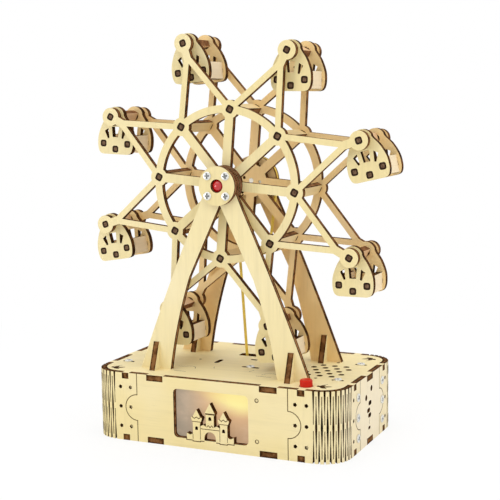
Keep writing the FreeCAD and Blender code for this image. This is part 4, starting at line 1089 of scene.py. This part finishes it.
# ---- the gondolas ---------------------------------------------------------------
def make_gondolas():
    """Two side plates to a gondola, round at the top and full at the flanks, and their tenons."""
    crown = arc(0, 0, 5.0, 90, 24, 10)
    flank = through([crown[-1], (4.98, 0.30), (7.75, -3.9), (9.75, -9.2), (10.1, -13.6), (9.6, -16.6),
                     (8.5, -18.25), (6.8, -18.8)], 6)
    outline = mirrored(np.vstack([crown[:-1], flank]))[:-1]
    side = np.array([(4.1, -5.8), (6.2, -7.2), (4.4, -11.0), (3.5, -10.7)])
    tenons = ((-6.9, -13.5), (6.9, -13.5), (0.0, -16.2))
    holes = [circle(0, 0, 2.27, 32), [(-2.1, -5.0), (2.1, -5.0), (1.6, -10.2), (-1.6, -10.2)],
             side, side * (-1, 1)]
    holes += [rounded_box(x, z, TENON_HOLE, TENON_HOLE, TENON_CORNER) for x, z in tenons]
    for number in range(SEATS):
        lean = math.radians(CAR_LEAN[number])
        pivot = polar(EYE_RADIUS, eye_angle(number))

        def hung(points):
            return clockwise(points, lean) + pivot
        plates = [sheet([hung(outline)], [hung(loop) for loop in holes], low, low + PLY)
                  for low in (CAR_FRONT_Y, CAR_REAR_Y)]
        car = f"gondola_{number + 1}"
        piece(f"{car}_plates", gather(plates), CAR_WOOD, car, [f"{car}_sides"])
        places = hung(tenons)
        half = TENON_HOLE - TENON_GAP
        spots = [(x, z, lean, half, CAR_FRONT_Y + TENON_INSET, CAR_FRONT_Y + PLY) for x, z in places]
        spots += [(x, z, lean, half, CAR_REAR_Y + PLY - TENON_INSET, CAR_REAR_Y) for x, z in places]
        tenon_ends(f"{car}_tenon_ends", car, spots)


# ---- belt, button, jewel and knob -----------------------------------------------
def make_belt():
    """Round belt: a circle of radius BELT_RADIUS carried along two strands and two arcs."""
    span = math.hypot(DRIVE_X, DRIVE_Z - AXLE_HEIGHT)
    lean = math.degrees(math.atan2(DRIVE_Z - AXLE_HEIGHT, DRIVE_X))
    spread = math.degrees(math.acos((BELT_LARGE - BELT_SMALL) / span))
    over = arc(0, AXLE_HEIGHT, BELT_LARGE, lean + spread, lean - spread + 360, 48)
    under = arc(DRIVE_X, DRIVE_Z, BELT_SMALL, lean - spread, lean + spread, 16)
    share = np.linspace(0, 1, 14)[1:-1, None]
    path = np.vstack([over, over[-1] + (under[0] - over[-1]) * share,
                      under, under[-1] + (over[0] - under[-1]) * share])
    ahead = np.roll(path, -1, axis=0) - np.roll(path, 1, axis=0)
    ahead /= np.linalg.norm(ahead, axis=1, keepdims=True)
    out = np.stack([ahead[:, 1], -ahead[:, 0]], axis=1)
    sides = 12
    turn = 2 * np.pi * np.arange(sides) / sides
    x = path[:, :1] + BELT_RADIUS * out[:, :1] * np.cos(turn)
    z = path[:, 1:] + BELT_RADIUS * out[:, 1:] * np.cos(turn)
    y = np.broadcast_to(BELT_Y + BELT_RADIUS * np.sin(turn), x.shape)
    points = np.stack([x, y, z], axis=-1).reshape(-1, 3)
    faces = grid_faces(len(path), sides, close_rows=True, close_columns=True)
    smooth(piece("round_drive_belt", (points, faces), YELLOW_RUBBER, "base", ["drive_belt"]), 60)


def make_jewel():
    """Red dome on a stem in the front cap."""
    radius, rise, stem = 2.9, 1.7, 3.1
    seat = FRONT_LEG_Y - PLY + 1.9
    profile = [(radius * math.sin(a), seat - rise * math.cos(a)) for a in np.linspace(0, math.pi / 2, 13)]
    profile += [(stem, seat), (stem, FRONT_LEG_Y), (0, FRONT_LEG_Y)]
    smooth(piece("hub_dome", lathe(profile, 40, (0, 0, AXLE_HEIGHT)), JEWEL_RED, "base", ["hub_jewel"]))


def make_button():
    """Round button with a softened rim, on a flange under the plate."""
    profile = [(0, 30.2), (3.8, 30.2), (3.8, 30.9), (3.0, 30.9), (3.0, 36.5), (2.94, 36.8), (2.75, 37.05),
               (2.5, 37.16), (2.2, 37.2), (1.0, 37.1), (0, 37.06)]
    smooth(piece("round_button", lathe(profile, 48, (BUTTON_X, BUTTON_Y, 0), "Z"), RED_GLOSS, "button",
                 ["push_button"]))


def make_knob():
    """Turned knob of the crank: a collar, a neck and a long barrel with a hole for its pin."""
    y = CRANK_ARM_Y + PLY + 0.3
    profile = [(1.06, 0), (1.9, 0), (2.15, 0.2), (2.3, 0.8), (2.2, 1.3), (2.5, 1.9), (2.85, 3.2), (3.05, 5.2),
               (3.1, 7.6), (2.98, 10.2), (2.65, 12.3), (2.1, 13.5), (1.5, 13.95), (1.06, 14.0), (1.06, 0)]
    smooth(piece("turned_knob", lathe(profile, 40, (CRANK_X + CRANK_THROW, y, CRANK_Z)), TURNED_WOOD, "knob",
                 ["crank_knob"]), 50)


# ---- stage ----------------------------------------------------------------------
def seen_ray(tree):
    """1 for what the camera sees straight, in a mirror or through glass."""
    path = add_node(tree, "LightPath")
    camera, mirror, glass = (Field(tree, path.outputs[f"Is {kind} Ray"])
                             for kind in ("Camera", "Glossy", "Transmission"))
    return camera.larger(mirror).larger(glass)


def mix_outputs(tree, factor, first, second, output):
    """Feeds an output node with the first shader where the factor is 0, the second where it is 1."""
    mix = add_node(tree, "MixShader", Fac=factor)
    tree.links.new(first, mix.inputs[1])
    tree.links.new(second, mix.inputs[2])
    tree.links.new(mix.outputs[0], tree.nodes[output].inputs["Surface"])


def make_world():
    """Even white light from all round, and a pure white backdrop for the camera."""
    world = bpy.data.worlds.new("studio")
    bpy.context.scene.world = world
    world.use_nodes = True
    tree = world.node_tree
    light = tree.nodes["Background"]
    light.inputs["Color"].default_value = WHITE
    light.inputs["Strength"].default_value = WORLD_LIGHT
    backdrop = add_node(tree, "Background", Color=WHITE)
    mix_outputs(tree, seen_ray(tree), light.outputs[0], backdrop.outputs[0], "World Output")


def make_floor():
    """White floor that keeps the object's shadow near it and fades into the backdrop."""
    reach = 3.0
    near, far = 90.0, 330.0
    mesh = bpy.data.meshes.new("floor")
    corners = [(-reach, -reach, 0), (reach, -reach, 0), (reach, reach, 0), (-reach, reach, 0)]
    mesh.from_pydata(corners, [], [(0, 1, 2, 3)])
    floor = bpy.data.objects.new("floor", mesh)
    bpy.context.scene.collection.objects.link(floor)
    finish = Finish("floor_white")
    finish.set(Base_Color=(0.92, 0.92, 0.92, 1.0), Roughness=0.9, Specular_IOR_Level=0.0)
    tree = finish.tree
    backdrop = add_node(tree, "Emission")
    distance = (finish.x * finish.x + finish.y * finish.y).root()
    weight = (distance.above(near, far) * 0.2 + 0.8) * seen_ray(tree)
    mix_outputs(tree, weight, finish.shader.outputs[0], backdrop.outputs[0], "Material Output")
    floor.data.materials.append(finish.material)


def make_lamps():
    """Square area lights, each turned to a point in the middle of the base's upper part."""
    for name, place, size, energy in LAMPS:
        lamp = bpy.data.lights.new(name, "AREA")
        lamp.size = size
        lamp.energy = energy
        made = bpy.data.objects.new(name, lamp)
        bpy.context.scene.collection.objects.link(made)
        aim = Vector((0.0, 0.0, 0.1)) - Vector(place)
        made.matrix_world = Matrix.Translation(place) @ aim.to_track_quat("-Z", "Y").to_matrix().to_4x4()


def make_camera():
    """Camera at CAMERA_PLACE, looking along a yaw and a pitch, then rolled a little."""
    yaw, pitch, roll = CAMERA_TURN
    forward = np.array([-math.sin(yaw) * math.cos(pitch), math.cos(yaw) * math.cos(pitch), math.sin(pitch)])
    right = np.cross(forward, [0.0, 0.0, 1.0])
    right /= np.linalg.norm(right)
    up = np.cross(right, forward)
    rolled_right = math.cos(roll) * right + math.sin(roll) * up
    rolled_up = math.cos(roll) * up - math.sin(roll) * right
    lens = bpy.data.cameras.new("camera")
    lens.sensor_width = 36.0
    lens.sensor_fit = "HORIZONTAL"
    lens.lens = FOCAL_WIDTHS * lens.sensor_width
    lens.clip_start = 0.01
    camera = bpy.data.objects.new("camera", lens)
    bpy.context.scene.collection.objects.link(camera)
    matrix = np.eye(4)
    matrix[:3, :] = np.stack([rolled_right, rolled_up, -forward, CAMERA_PLACE], axis=1)
    camera.matrix_world = Matrix(matrix.tolist())
    bpy.context.scene.camera = camera


# Camera and lights, in metres and radians; the focal length is in picture widths.
CAMERA_PLACE = (0.23421838, -0.50292858, 0.16430903)
CAMERA_TURN = (0.4302073, -0.1306460, -0.0145505)
FOCAL_WIDTHS = 2.243158
WHITE = (1.0, 1.0, 1.0, 1.0)
WORLD_LIGHT = 0.82
LAMPS = (("key", (-0.45, -0.9, 1.1), 0.9, 2.7),
         ("side", (1.2, -0.3, 0.7), 0.9, 2.9),
         ("top", (0.0, 0.2, 1.4), 1.0, 5.4),
         ("glint", (-0.54, -0.614, 0.067), 0.15, 0.6))

# Finishes that more than one part shares, or that a new piece wears.
FRAME_CORE = (paint(84, 52, 26), paint(146, 98, 58))
# The screws' cross recesses are painted dark, as shade.
BRIGHT_STEEL = plain("bright_steel", paint(230, 230, 226), 0.28, metallic=0.85, bump_mm=0.01, recess_shade=True)
NYLON_WHITE = plain("nylon_white", paint(238, 236, 226), 0.35)
RED_GLOSS = plain("red_gloss", paint(204, 36, 16), 0.35, Specular_IOR_Level=0.15)
JEWEL_RED = plain("jewel_red", paint(196, 12, 12), 0.1, Specular_IOR_Level=0.9)
YELLOW_RUBBER = plain("yellow_rubber", paint(248, 216, 90), 0.5)
TIP_DARK = plain("cut_tip_dark", paint(60, 38, 14), 0.9, Specular_IOR_Level=0.05)
SCORCHED = plain("scorched_line", paint(76, 52, 26), 0.85, Specular_IOR_Level=0.1)
SEAM_DARK = plain("seam_dark", paint(84, 64, 30), 0.9, Specular_IOR_Level=0.1)
TURNED_WOOD = plywood("turned_beech", everywhere(1.0), along="Y", tone=TAN)
TENON_WOOD = tenon_wood()
PLATE_WOOD = plywood("ply_plates", facing_z, along="X", tone=paint(243, 226, 172), core=plate_core)
WALL_WOOD = plywood("ply_long_walls", facing_y, along="X", core=wall_core,
                    core_tones=(paint(98, 58, 30), paint(172, 124, 84)))
# The corner strips' flanks and the side walls take a paler cream: painted light on the faces turned sideways.
BENT_WOOD = plywood("ply_bent_strips", round_the_corner, core=wall_core,
                    painted_shading=(lambda finish: facing_x(finish).above(0.70, 0.98) * 0.7, LIT_SIDE_CREAM))
SIDE_WOOD = plywood("ply_side_walls", facing_x, tone=LIT_SIDE_CREAM, core=wall_core)
FRONT_LEG_WOOD = plywood("ply_front_legs", facing_y, tone=PALE_CREAM, core=sheet_core(FRONT_LEG_Y),
                         core_tones=(paint(100, 64, 38), paint(164, 122, 80)))
GUSSET_WOOD = plywood("ply_gussets", facing_x, tone=PALE_CREAM, core=gusset_core)
CAP_WOOD = plywood("ply_hub", facing_y, core=sheet_core(FRONT_LEG_Y - PLY, FRONT_LEG_Y, FRONT_FRAME_Y - PLY,
                                                        REAR_LEG_Y, REAR_LEG_Y + PLY),
                   core_tones=(paint(116, 78, 54), paint(160, 114, 84)))
# The pulley's tan is partly painted shade, for its place behind the rear frame.
PULLEY_WOOD = plywood("ply_pulley", facing_y, tone=TAN, core=everywhere(0.5))
FRONT_FRAME_WOOD = plywood("ply_front_frame", facing_y, core=sheet_core(FRONT_FRAME_Y), core_tones=FRAME_CORE)
# The rear frame's tan is partly the sheet's own tone and partly painted shade, as less light reaches the rear
# of the wheel.
REAR_FRAME_WOOD = plywood("ply_rear_frame", facing_y, tone=TAN, core=sheet_core(REAR_FRAME_Y),
                          core_tones=FRAME_CORE)
# The ring boards' honey tone, darker than the frames, is partly their own and partly painted shade between
# the frames.
RING_BOARD_WOOD = plywood("ply_ring_boards", ring_board_faces, along="Y", tone=HONEY, core=ring_board_core,
                          core_tones=(paint(112, 74, 46), paint(154, 112, 74)))
STRIP_WOOD = plywood("ply_square_strips", everywhere(0.0), along="Y", core=everywhere(0.8))
# The pivot boards' tan veneer is partly painted shade, for their place between the gondola's plates.
PIVOT_WOOD = plywood("ply_pivot_boards", facing_out, along="Y", tone=paint(222, 182, 136),
                     core=everywhere(0.7), core_tones=(paint(138, 92, 58), paint(164, 116, 76)))
# The gondolas' rear plates, at Y above 0, take a warmer, darker tone: painted shade, for the less light that
# reaches them.
CAR_WOOD = plywood("ply_gondolas", facing_y,
                   painted_shading=(lambda finish: finish.y.above(-1.0, 1.0) * 0.75, paint(236, 204, 146)))

dress_nodes()
make_top_plate()
make_gussets()
make_side_panels()
make_screws()
make_seams()
make_cut_tips()
make_pilot_backs()
make_engraving()
make_wheel_frames()
make_gondola_strips()
make_crossbars()
make_wheel_tenons()
make_hub_discs()
make_rivet()
make_leg_heads()
make_pulley()
make_gondolas()
make_belt()
make_jewel()
make_button()
make_knob()
make_world()
make_floor()
make_lamps()
make_camera()
bpy.context.scene.view_settings.view_transform = "Standard"
